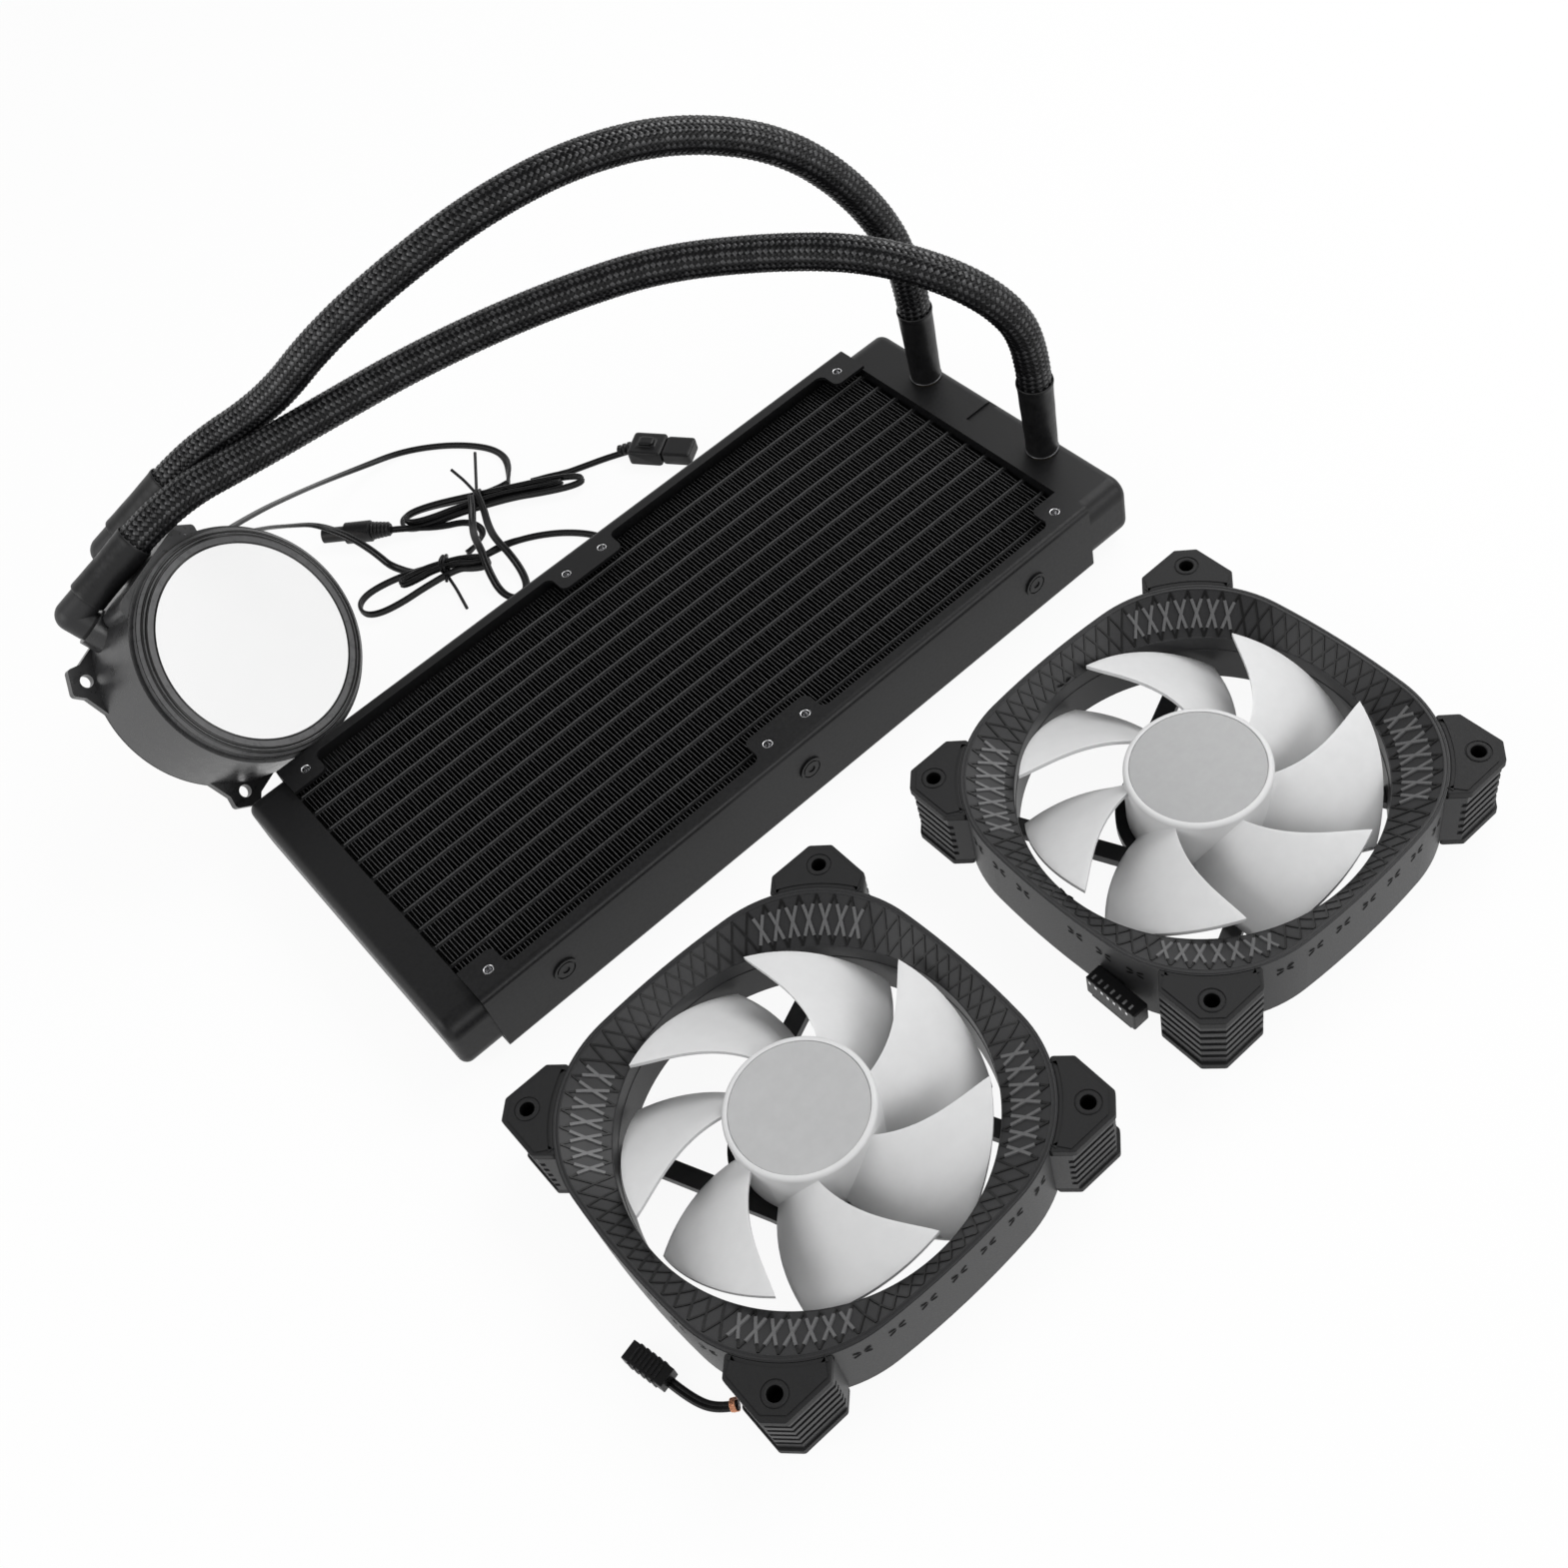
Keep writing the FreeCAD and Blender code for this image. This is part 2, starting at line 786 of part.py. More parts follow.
def radiator_sleeves():
    """Crimped sleeves that widen towards the hose, with a bead at each end."""
    top = collar_top + S.radiator_sleeve_length
    foot = S.sleeve_foot_radius
    mouth = S.sleeve_top_radius
    step = S.sleeve_bead_step
    bead = S.sleeve_bead
    slope = bead + S.sleeve_bead_slope
    sleeve = turned_body("radiator_sleeve", [
        (sleeve_bore, collar_top), (foot, collar_top), (foot, collar_top + bead),
        (foot - step, collar_top + slope), (mouth - step, top - slope), (mouth, top - bead),
        (mouth, top), (sleeve_bore, top)])
    node(copies(sleeve, [Placement(place, Rotation()) for place in port_places]), "radiator_sleeves")


radiator_sleeves()

# Pump head, modelled about its own axis: the lens face is at height 0 and the foot below it

pump_place = Placement(
    vec(S.pump_place_x, S.pump_place_y, S.pump_place_z),
    Rotation(Z_WAY, SIZES["pump_turn"]).multiply(Rotation(Y_WAY, SIZES["pump_tilt"])))
foot = -S.pump_height
lip_top = -S.pump_top_drop
lip_bottom = lip_top - S.pump_wall
plate_top = foot + S.cold_plate_thickness - S.cold_plate_stand
seal_top = plate_top + S.seal_thickness
chamber_top = seal_top + S.chamber_plate_thickness
port_boss_reach = S.pump_foot_radius + S.port_boss_stand
cavity_top_radius = S.pump_top_radius - S.pump_wall
cavity_foot_radius = S.pump_foot_radius - S.pump_wall
chamber_share = (chamber_top - foot) / (lip_bottom - foot)
inner_plate_radius = cavity_foot_radius + (cavity_top_radius - cavity_foot_radius) * chamber_share
inner_plate_radius = inner_plate_radius - S.plate_clearance


def pump_housing():
    """A round tapered cup with four ears, a shoulder and two port bosses."""
    body = new_body("pump_housing")
    zero = size(0)
    turn_profile(body, [
        (zero, foot), (S.pump_foot_radius, foot), (S.pump_top_radius, lip_top), (zero, lip_top)])

    ear = new_sketch(body, "XY_Plane", foot)
    ear_place = S.ear_pitch / 2
    wall = S.pump_top_radius - S.pump_wall
    eighth = math.sqrt(0.5)
    bore_middle = ear_place / eighth
    flank = [(bore_middle + S.ear_edge, S.ear_tip_half_width),
             (bore_middle + S.ear_waist_edge, S.ear_waist_half_width), (wall, S.ear_root_half_width)]
    outline = flank + [(out, -half) for out, half in reversed(flank)]
    draw_polygon(ear, [((out - half) * eighth, (out + half) * eighth) for out, half in outline])
    ear_pad = pad(body, ear, S.ear_thickness)
    repeat_round(body, [ear_pad], 4)
    corner = math.hypot(float(bore_middle + S.ear_edge), SIZES["ear_tip_half_width"])
    round_edges(body, S.ear_corner, lambda e: runs_along(e, Z_WAY)
                and near(math.hypot(e.BoundBox.XMin, e.BoundBox.YMin), corner))

    shoulder = new_sketch(body, "XY_Plane", -S.shoulder_top_drop)
    reach = S.pump_top_radius + S.shoulder_stand
    draw_box(shoulder, -reach, -S.lens_radius, -S.shoulder_half_width, S.shoulder_half_width)
    pad(body, shoulder, S.shoulder_height, True)
    round_edges(body, S.shoulder_round, lambda e: runs_along(e, Z_WAY)
                and near(e.BoundBox.XMin, -reach))

    bosses = new_sketch(body, "YZ_Plane", -S.lens_radius, S.port_turn)
    for side in (-1, 1):
        draw_circle(bosses, S.port_half_spacing * side, -S.port_drop, S.port_boss_radius)
    pad(body, bosses, port_boss_reach - S.lens_radius, True)

    turn_profile(body, [
        (zero, foot - 1), (cavity_foot_radius, foot - 1), (cavity_foot_radius, foot),
        (cavity_top_radius, lip_bottom), (S.pump_lip_radius, lip_bottom), (S.pump_lip_radius, zero),
        (zero, zero)], "Groove")

    ports = new_sketch(body, "YZ_Plane", -port_boss_reach, S.port_turn)
    for side in (-1, 1):
        draw_circle(ports, S.port_half_spacing * side, -S.port_drop, S.spigot_radius + S.spigot_clearance)
    pocket(body, ports, port_boss_reach - S.lens_radius, True)

    holes = new_sketch(body, "XY_Plane", foot + S.ear_thickness)
    for x, y in ((1, 1), (-1, 1), (-1, -1), (1, -1)):
        draw_circle(holes, ear_place * x, ear_place * y, S.ear_bore)
    pocket(body, holes, S.ear_thickness)
    node(body, "pump_housing", pump_place)


pump_housing()

lens_bottom = -S.lens_thickness
ledge_radius = S.lens_radius - S.lens_ledge


def bezel_ring():
    """The ring around the lens: a flat band, two grooves and a ridge, with a ledge for the lens."""
    zero = size(0)
    deep = -S.bezel_groove
    band = S.bezel_band
    ridge = S.bezel_ridge
    rim = S.bezel_radius
    inner = S.lens_radius + S.lens_clearance
    body = turned_body("bezel_ring", [
        (ledge_radius, lip_top), (rim, lip_top), (rim, deep * 3), (ridge + 0.3, deep), (ridge, deep * 2),
        (ridge - 0.3, deep), (band + 0.3, deep), (band, deep * 2), (band - 0.3, zero), (inner, zero),
        (inner, lens_bottom), (ledge_radius, lens_bottom)])
    node(body, "bezel_ring", pump_place)


bezel_ring()


def disc(name, radius, low, high, bore=None):
    start = size(0) if bore is None else bore
    body = turned_body(name, [(start, low), (radius, low), (radius, high), (start, high)])
    return node(body, name, pump_place)


disc("display_lens", S.lens_radius, lens_bottom, size(0))
disc("light_guide", ledge_radius - S.lens_clearance, lens_bottom - S.guide_thickness, lens_bottom)

guide_bottom = lens_bottom - S.guide_thickness
board_bottom = lip_bottom - S.board_thickness
board_radius = cavity_top_radius - S.board_margin


def driver_board():
    """The board under the lip, with a ring of diodes that reach the light guide."""
    body = turned_body("driver_board", [
        (size(0), board_bottom), (board_radius, board_bottom), (board_radius, lip_bottom),
        (size(0), lip_bottom)])
    diode = new_sketch(body, "XY_Plane", lip_bottom)
    half = S.diode_width / 2
    draw_box(diode, S.diode_ring - half, S.diode_ring + half, -half, half)
    first = pad(body, diode, guide_bottom - lip_bottom)
    repeat_round(body, [first], S.diode_count)
    node(body, "driver_board", pump_place)


driver_board()


def motor_can():
    """The thin dry-side cup over the rotor's magnet, with a flange on the chamber plate."""
    top = chamber_top + S.can_height
    inner = S.can_radius - S.can_wall
    body = turned_body("motor_can", [
        (inner, chamber_top), (S.can_flange_radius, chamber_top),
        (S.can_flange_radius, chamber_top + S.can_flange_thickness),
        (S.can_radius, chamber_top + S.can_flange_thickness), (S.can_radius, top), (size(0), top),
        (size(0), top - S.can_wall), (inner, top - S.can_wall)])
    node(body, "motor_can", pump_place)


motor_can()


def pump_stator():
    """A laminated ring with poles that point at the can."""
    low = chamber_top + S.can_flange_thickness
    high = low + S.stator_height
    inner = S.stator_radius - S.stator_rim
    body = turned_body("pump_stator", [(inner, low), (S.stator_radius, low), (S.stator_radius, high),
                                       (inner, high)])
    pole = new_sketch(body, "XY_Plane", low)
    half = S.stator_pole_width / 2
    draw_box(pole, S.can_radius + S.stator_gap, inner + 1, -half, half)
    first = pad(body, pole, S.stator_height)
    repeat_round(body, [first], S.stator_poles)
    node(body, "pump_stator", pump_place)


pump_stator()


def chamber_plate():
    """The plate that closes the water chamber, with the volute on its lower side."""
    low = seal_top
    roof = low + S.volute_depth
    bore = S.can_radius - S.can_wall
    body = turned_body("chamber_plate", [
        (S.volute_radius, low), (inner_plate_radius, low), (inner_plate_radius, chamber_top),
        (bore, chamber_top), (bore, roof), (S.volute_radius, roof)])
    holes = new_sketch(body, "XY_Plane", low)
    count = int(SIZES["cold_plate_screws"])
    for k in range(count):
        angle = math.radians(360.0 * (k + 0.5) / count)
        draw_circle(holes, S.cold_plate_screw_ring * math.cos(angle),
                    S.cold_plate_screw_ring * math.sin(angle), S.plate_screw_shank)
    pocket(body, holes, S.plate_screw_length, True)
    node(body, "chamber_plate", pump_place)


chamber_plate()
disc("chamber_seal", S.seal_radius, plate_top, seal_top, S.seal_radius - S.seal_width)


def cold_plate():
    """The copper plate under the chamber, with counterbored holes and the shaft's seat."""
    low = plate_top - S.cold_plate_thickness
    seat = S.shaft_radius + S.shaft_clearance
    body = turned_body("cold_plate", [
        (size(0), low), (S.cold_plate_radius, low), (S.cold_plate_radius, plate_top), (seat, plate_top),
        (seat, plate_top - S.shaft_seat), (size(0), plate_top - S.shaft_seat)])
    count = int(SIZES["cold_plate_screws"])
    for radius, depth in ((S.plate_screw_head + S.shaft_clearance, S.plate_screw_head_height),
                          (S.plate_screw_shank + S.shaft_clearance, S.cold_plate_thickness)):
        holes = new_sketch(body, "XY_Plane", low)
        for k in range(count):
            angle = math.radians(360.0 * (k + 0.5) / count)
            draw_circle(holes, S.cold_plate_screw_ring * math.cos(angle),
                        S.cold_plate_screw_ring * math.sin(angle), radius)
        pocket(body, holes, depth, True)
    node(body, "cold_plate", pump_place)


cold_plate()


def cold_plate_screws():
    low = plate_top - S.cold_plate_thickness
    head = low + S.plate_screw_head_height
    screw = turned_body("plate_screw", [
        (size(0), low), (S.plate_screw_head, low), (S.plate_screw_head, head), (S.plate_screw_shank, head),
        (S.plate_screw_shank, seal_top + S.plate_screw_length), (size(0), seal_top + S.plate_screw_length)])
    count = int(SIZES["cold_plate_screws"])
    ring = SIZES["cold_plate_screw_ring"]
    places = []
    for k in range(count):
        angle = math.radians(360.0 * (k + 0.5) / count)
        places.append(Placement(Vector(ring * math.cos(angle), ring * math.sin(angle), 0), Rotation()))
    group = copies(screw, places)
    node(group, "cold_plate_screws", pump_place)


cold_plate_screws()


def pump_rotor():
    """The turning magnet with its vaned disc, on the fixed shaft."""
    roof = seal_top + S.volute_depth
    disc_top = roof - S.rotor_running_gap
    disc_bottom = disc_top - S.rotor_disc_thickness
    bore = S.shaft_radius + S.shaft_clearance
    body = turned_body("pump_rotor", [
        (bore, disc_bottom), (S.rotor_disc_radius, disc_bottom), (S.rotor_disc_radius, disc_top),
        (S.rotor_magnet_radius, disc_top), (S.rotor_magnet_radius, disc_top + S.rotor_magnet_height),
        (bore, disc_top + S.rotor_magnet_height)])
    vane = new_sketch(body, "XY_Plane", disc_bottom)
    half = S.rotor_vane_width / 2
    draw_box(vane, S.shaft_radius * 3, S.rotor_disc_radius - 1, -half, half)
    first = pad(body, vane, S.rotor_vane_height, True)
    repeat_round(body, [first], S.rotor_vanes)
    node(body, "pump_rotor", pump_place)


pump_rotor()
disc("rotor_shaft", S.shaft_radius, plate_top - S.shaft_seat, chamber_top + S.can_height - S.can_wall)

# Elbows and sleeves on the pump

elbow_seat = port_boss_reach + S.port_seal_thickness
elbow_reach = elbow_seat + S.elbow_inlet
port_out = Rotation(Z_WAY, SIZES["port_turn"]).multVec(-X_WAY)
port_side = Rotation(Z_WAY, SIZES["port_turn"]).multVec(-Y_WAY)


def port_point(reach, side):
    """A point on the axis of a port, that far from the pump's axis."""
    return port_out * float(reach) + port_side * (float(S.port_half_spacing) * side) + vec(0, 0, -S.port_drop)


def leg_way(lift):
    angle = math.radians(float(lift))
    return Vector(0, math.cos(angle), math.sin(angle))


def ball(radius, middle):
    sphere = doc.addObject("Part::Sphere", "ball")
    sphere.setExpression("Radius", size(radius).formula)
    sphere.Placement = Placement(middle, Rotation())
    return sphere


def elbow(name, side, lift):
    """A spigot in the boss, a round corner and a barb for the hose."""
    corner = port_point(elbow_reach, side)
    way = leg_way(lift)
    outer = fuse(
        rod(S.spigot_radius, S.spigot_length + S.port_seal_thickness,
            port_point(port_boss_reach - S.spigot_length, side), port_out),
        rod(S.elbow_radius, S.elbow_inlet, port_point(elbow_seat, side), port_out),
        ball(S.elbow_radius, corner),
        rod(S.elbow_radius, S.elbow_leg, corner, way),
        rod(S.barb_radius, S.pump_sleeve_length - 1, corner + way * float(S.elbow_leg), way))
    bore = fuse(
        rod(S.barb_bore, elbow_reach - port_boss_reach + S.spigot_length + 1,
            port_point(port_boss_reach - S.spigot_length - 1, side), port_out),
        ball(S.barb_bore, corner),
        rod(S.barb_bore, S.elbow_leg + S.pump_sleeve_length + 1, corner, way))
    node(cut(outer, bore), name, pump_place)


elbow("elbow_front", 1, S.elbow_front_lift)
elbow("elbow_rear", -1, S.elbow_rear_lift)


def tube_set(name, outer, inner, length, starts, placement):
    """Straight rings of one section at several places."""
    bored = []
    for start, way in starts:
        bored.append(cut(rod(outer, length, start, way), rod(inner, length, start, way)))
    group = doc.addObject("Part::Compound", "set")
    group.Links = bored
    node(group, name, placement)


tube_set("elbow_seals", S.port_seal_radius, S.spigot_radius + S.spigot_clearance, S.port_seal_thickness,
         [(port_point(port_boss_reach, side), port_out) for side in (1, -1)], pump_place)

sleeve_starts = []
for side, lift in ((1, S.elbow_front_lift), (-1, S.elbow_rear_lift)):
    way = leg_way(lift)
    sleeve_starts.append((port_point(elbow_reach, side) + way * float(S.elbow_leg), way))
tube_set("pump_sleeves", S.pump_sleeve_radius, sleeve_bore, S.pump_sleeve_length, sleeve_starts, pump_place)

# Fans

pad_top = S.fan_thickness - S.pad_thickness
half_fan = SIZES["fan_width"] / 2
hub_bottom = S.strut_height + S.hub_running_gap
hub_top = S.fan_thickness
cap_top = hub_top - S.cap_drop
cap_seat = cap_top - S.cap_thickness
hub_ceiling = cap_seat - S.hub_top_thickness
hub_inside = S.hub_radius - S.hub_wall


def frame_corner(inset):
    """Where a side arc of the frame's outline meets a corner arc, first quarter."""
    side_centre = half_fan - SIZES["side_arc"]
    gap = SIZES["side_arc"] - SIZES["corner_arc"]
    corner_centre = (side_centre + math.sqrt(2 * gap ** 2 - side_centre ** 2)) / 2
    way = Vector(corner_centre, corner_centre - side_centre, 0).normalize()
    meet = Vector(0, side_centre, 0) + way * (SIZES["side_arc"] - inset)
    corner = corner_centre * math.sqrt(2) + SIZES["corner_arc"] - inset
    return meet, corner


def frame_line(inset, height):
    """The frame's outline: four shallow side arcs and four round corners, moved inwards."""
    meet, corner = frame_corner(inset)
    edges = []
    for quarter in range(4):
        turn = Rotation(Z_WAY, -90.0 * quarter)
        side = [Vector(-meet.x, meet.y, height), Vector(0, half_fan - inset, height),
                Vector(meet.x, meet.y, height)]
        diagonal = corner / math.sqrt(2)
        bend = [Vector(meet.x, meet.y, height), Vector(diagonal, diagonal, height),
                Vector(meet.y, meet.x, height)]
        for arc in (side, bend):
            edges.append(Part.Arc(*[turn.multVec(point) for point in arc]).toShape())
    return Part.Wire(edges)


def duct_line(radius, height):
    """A circle cut into arcs that face the arcs of the frame's outline."""
    meet, corner = frame_corner(0.0)
    start = math.atan2(meet.y, meet.x)
    edges = []
    for quarter in range(4):
        for first, last in ((math.pi - start, start), (start, math.pi / 2 - start)):
            angles = [angle - math.pi / 2 * quarter for angle in (first, (first + last) / 2, last)]
            arc = [Vector(radius * math.cos(a), radius * math.sin(a), height) for a in angles]
            edges.append(Part.Arc(*arc).toShape())
    return Part.Wire(edges)


def extrude(profile, length):
    """A straight prism from a closed wire."""
    prism = doc.addObject("Part::Extrusion", "prism")
    prism.Base = profile
    prism.DirMode = "Custom"
    prism.Dir = Z_WAY
    prism.Solid = True
    prism.setExpression("LengthFwd", size(length).formula)
    return prism


def corner_plan(inset, height):
    """The outline of one corner piece, inner side hidden inside the frame's own outline."""
    outer = half_fan - inset
    chamfer = SIZES["pad_chamfer"]
    length = SIZES["pad_length"]
    slant = SIZES["pad_slant"]
    side = [(outer - length - slant, outer - slant), (outer - length, outer), (outer - chamfer, outer)]
    points = side + [(y, x) for x, y in side[::-1]]
    inner = half_fan - length - slant * 1.5
    points += [(inner, inner)]
    corners = [Vector(x, y, height) for x, y in points]
    return Part.makePolygon(corners + corners[:1])


def corner_places():
    return [Placement(Vector(), Rotation(Z_WAY, 90.0 * quarter)) for quarter in range(4)]


def corner_tower():
    """The square corner between the pads, with grooves round its outer faces."""
    plan = free_shape("tower_plan", corner_plan(SIZES["tower_inset"], SIZES["pad_thickness"]))
    tower = extrude(plan, pad_top - S.pad_thickness)
    depth = SIZES["tower_slot_depth"]
    floor = SIZES["tower_inset"] + depth
    around = extrude(free_shape("slot_plan", corner_plan(-depth, 0.0)), S.tower_slot_height)
    inside = extrude(free_shape("slot_floor", corner_plan(floor, 0.0)), S.tower_slot_height)
    lowest = S.fan_thickness / 2 - S.tower_slot_height / 2
    lowest = lowest - S.tower_slot_pitch * ((SIZES["tower_slots"] - 1) / 2)
    rows = [Placement(vec(0, 0, lowest + S.tower_slot_pitch * row), Rotation())
            for row in range(int(SIZES["tower_slots"]))]
    slots = copies(cut(around, inside), rows)
    hole = SIZES["fan_screw_pitch"] / 2
    return cut(tower, slots, rod(S.pad_bore, S.fan_thickness, Vector(hole, hole, 0), Z_WAY))


def fan_frame(name, place):
    """Duct, flared mouth, corner towers, and four tangential struts with the motor's base."""
    towers = copies(corner_tower(), corner_places())
    outside = fuse(extrude(free_shape("frame_line", frame_line(0.0, 0.0)), S.fan_thickness), towers)
    duct = rod(S.duct_radius, S.fan_thickness, Vector(), Z_WAY)
    flare = doc.addObject("Part::Loft", "flare")
    mouth = free_shape("mouth_line", frame_line(SIZES["rim_edge"], SIZES["fan_thickness"]))
    throat_height = SIZES["fan_thickness"] - SIZES["flare_depth"]
    throat = free_shape("throat_line", duct_line(SIZES["duct_radius"], throat_height))
    flare.Sections = [throat, mouth]
    flare.Solid = True
    flare.Ruled = True
    shell = cut(outside, duct, flare)

    turn = SIZES["strut_angle"]
    along = Rotation(Z_WAY, turn).multVec(X_WAY)
    across = Rotation(Z_WAY, turn).multVec(Y_WAY)
    reach = math.sqrt((SIZES["duct_radius"] + 1) ** 2 - SIZES["strut_offset"] ** 2)
    middle = across * SIZES["strut_offset"] + along * (reach / 2)
    strut = block(reach, S.strut_width, S.strut_height, middle, turn)
    struts = copies(strut, corner_places())
    base = rod(S.motor_base_radius, S.strut_height, Vector(), Z_WAY)
    tube = cut(rod(S.bearing_tube_radius, S.bearing_tube_height, vec(0, 0, S.strut_height), Z_WAY),
               rod(S.bearing_radius, S.bearing_tube_height, vec(0, 0, S.strut_height), Z_WAY))
    node(fuse(shell, struts, base, tube), name + "_frame", place)


def fan_pads(name, place):
    """Soft corner pads above and below each tower, fitted around the frame's outline."""
    plan = free_shape("pad_plan", corner_plan(0.0, 0.0))
    outside = extrude(free_shape("pad_limit", frame_line(-SIZES["fan_fit"], 0.0)), S.pad_thickness)
    hole = SIZES["fan_screw_pitch"] / 2
    one = cut(extrude(plan, S.pad_thickness), outside,
              rod(S.pad_bore, S.pad_thickness, Vector(hole, hole, 0), Z_WAY))
    upper = [Placement(vec(0, 0, pad_top), spot.Rotation) for spot in corner_places()]
    node(copies(one, corner_places() + upper), name + "_pads", place)


def blade(turn):
    """One swept and twisted blade, from a smooth grid of points down to its thickness."""
    root = SIZES["hub_radius"] - SIZES["hub_wall"] / 2
    tip = SIZES["blade_tip_radius"]
    top = SIZES["blade_top"]
    drop = top - SIZES["blade_bottom"]
    rows = []
    for step in range(5):
        part = step / 4.0
        radius = root + (tip - root) * part
        leading = -32.0 * (1 - part) ** 1.25
        trailing = -45.0 - 25.0 * (1 - part)
        row = []
        for chord in (0.0, 1 / 3.0, 2 / 3.0, 1.0):
            angle = math.radians(turn + leading + (trailing - leading) * chord)
            height = top - drop * chord + SIZES["blade_camber"] * math.sin(math.pi * chord)
            row.append(Vector(radius * math.cos(angle), radius * math.sin(angle), height))
        rows.append(row)
    surface = Part.BSplineSurface()
    surface.interpolate(rows)
    return surface.toShape().extrude(Vector(0, 0, -SIZES["blade_thickness"]))


def impeller(name, place, turn):
    """Hub cup with a shaft boss and a recess for the cap, and seven blades."""
    zero = size(0)
    boss = S.hub_boss_radius
    boss_low = hub_ceiling - S.hub_boss_height
    shaft = S.fan_shaft_radius
    recess = S.cap_radius + S.cap_gap
    hub = turned_body(name + "_hub", [
        (hub_inside, hub_bottom), (S.hub_radius, hub_bottom), (S.hub_radius, hub_top), (recess, hub_top),
        (recess, cap_seat), (zero, cap_seat), (zero, hub_ceiling), (shaft, hub_ceiling),
        (shaft, boss_low), (boss, boss_low),
        (boss, hub_ceiling), (hub_inside, hub_ceiling)])
    round_edges(hub, S.hub_rounding, lambda e: near(e.BoundBox.ZMin, hub_top)
                and e.BoundBox.XMax > float(S.hub_radius) - 0.1)
    one = free_shape("blade", blade(turn))
    count = int(SIZES["blade_count"])
    spots = [Placement(Vector(), Rotation(Z_WAY, 360.0 * k / count)) for k in range(count)]
    node(fuse(hub, copies(one, spots)), name + "_impeller", place)


def ring(label, inner, outer, low, high):
    return turned_body(label, [(inner, low), (outer, low), (outer, high), (inner, high)])


def group(label, place, *parts):
    """Several pieces of one kind of work in one compound."""
    together = doc.addObject("Part::Compound", "group")
    together.Links = list(parts)
    return node(together, label, place)


def fan_motor(name, place):
    """Board and four-pole stator around the bearing tube."""
    inner = S.bearing_tube_radius + S.fan_fit
    board = ring(name + "_board", inner, S.fan_board_radius, S.strut_height,
                 S.strut_height + S.fan_board_thickness)
    collar = inner + S.fan_stator_rim
    low = S.strut_height + S.bearing_tube_height - S.fan_stator_height - 2
    body = ring(name + "_stator", inner, collar, low, low + S.fan_stator_height)
    pole = new_sketch(body, "XY_Plane", low)
    half = S.fan_pole_width / 2
    shoe = S.fan_stator_radius - S.fan_shoe_depth
    draw_polygon(pole, [
        (collar - 0.6, -half), (shoe, -half), (shoe - 0.6, -S.fan_shoe_half_width),
        (S.fan_stator_radius - 1.2, -S.fan_shoe_half_width), (S.fan_stator_radius, size(0)),
        (S.fan_stator_radius - 1.2, S.fan_shoe_half_width), (shoe - 0.6, S.fan_shoe_half_width),
        (shoe, half), (collar - 0.6, half)])
    first = pad(body, pole, S.fan_stator_height)
    repeat_round(body, [first], S.fan_poles)
    group(name + "_motor", place, board, body)


def fan(name, place, turn):
    fan_frame(name, place)
    fan_pads(name, place)
    impeller(name, place, turn)
    zero = size(0)
    node(ring(name + "_hub_cap", zero, S.cap_radius, cap_seat, cap_top), name + "_hub_cap", place)
    magnet = hub_inside - S.fan_fit
    magnet_low = hub_bottom + S.hub_running_gap
    magnet_top = magnet_low + S.magnet_height
    group(name + "_rotor_core", place,
          ring(name + "_magnet", magnet - S.magnet_thickness, magnet, magnet_low, magnet_top),
          ring(name + "_shaft", zero, S.fan_shaft_radius, S.strut_height + 0.3, hub_ceiling))
    bearing = ring(name + "_bearing", S.fan_shaft_radius + S.fan_fit, S.bearing_radius, S.strut_height,
                   S.strut_height + S.bearing_length)
    node(bearing, name + "_bearing", place)
    fan_motor(name, place)


fan_left_place = Placement(vec(S.fan_left_x, S.fan_left_y, 0), Rotation())
fan_right_place = Placement(vec(S.fan_right_x, S.fan_right_y, 0), Rotation())
fan("fan_left", fan_left_place, SIZES["fan_left_turn"])
fan("fan_right", fan_right_place, SIZES["fan_right_turn"])

# Hoses and cables. Each route is a list of points chosen by hand: straight runs between tangent arcs

HOSE_FRONT = [
    (-110.30, 115.36, 85.66), (-94.26, 113.88, 92.23), (-67.0, 104.5, 95.8), (-42.3, 95.0, 100.8),
    (-17.0, 84.5, 106.0), (8.0, 73.0, 110.0), (33.0, 60.5, 112.5), (57.5, 46.5, 113.5),
    (83.0, 24.0, 111.5), (98.5, 0.0, 112.0), (112.5, -17.5, 103.0), (124.0, -25.5, 88.5),
    (131.45, -27.9, 71.0), (131.45, -27.9, 53.1)]
HOSE_REAR = [
    (-91.06, 124.32, 89.95), (-79.42, 121.19, 96.03), (-53.6, 109.5, 104.0), (-33.7, 94.4, 124.1),
    (-7.3, 82.2, 137.6), (19.1, 69.2, 148.7), (48.8, 59.9, 151.3), (78.3, 52.4, 144.2),
    (103.3, 39.9, 130.2), (120.9, 32.8, 105.6), (131.45, 27.9, 76.1), (131.45, 27.9, 53.1)]
LEAD_FRONT = [
    (-83.2, 119.3, 66.7), (-70.0, 134.0, 54.0), (-52.0, 155.0, 34.0), (-36.0, 172.0, 17.0),
    (-20.0, 181.0, 5.5), (-5.0, 180.5, 1.5), (7.0, 171.0, 1.5), (16.0, 160.0, 1.5), (21.0, 149.0, 1.5),
    (19.5, 139.0, 1.5), (12.8, 130.6, 1.5)]
LEAD_REAR = [
    (-81.0, 121.4, 61.2), (-71.0, 137.5, 44.5), (-60.5, 150.5, 28.0), (-51.0, 155.5, 17.5),
    (-44.5, 149.0, 11.0), (-41.0, 138.5, 6.5), (-39.5, 128.5, 2.0), (-34.5, 120.5, 1.5)]
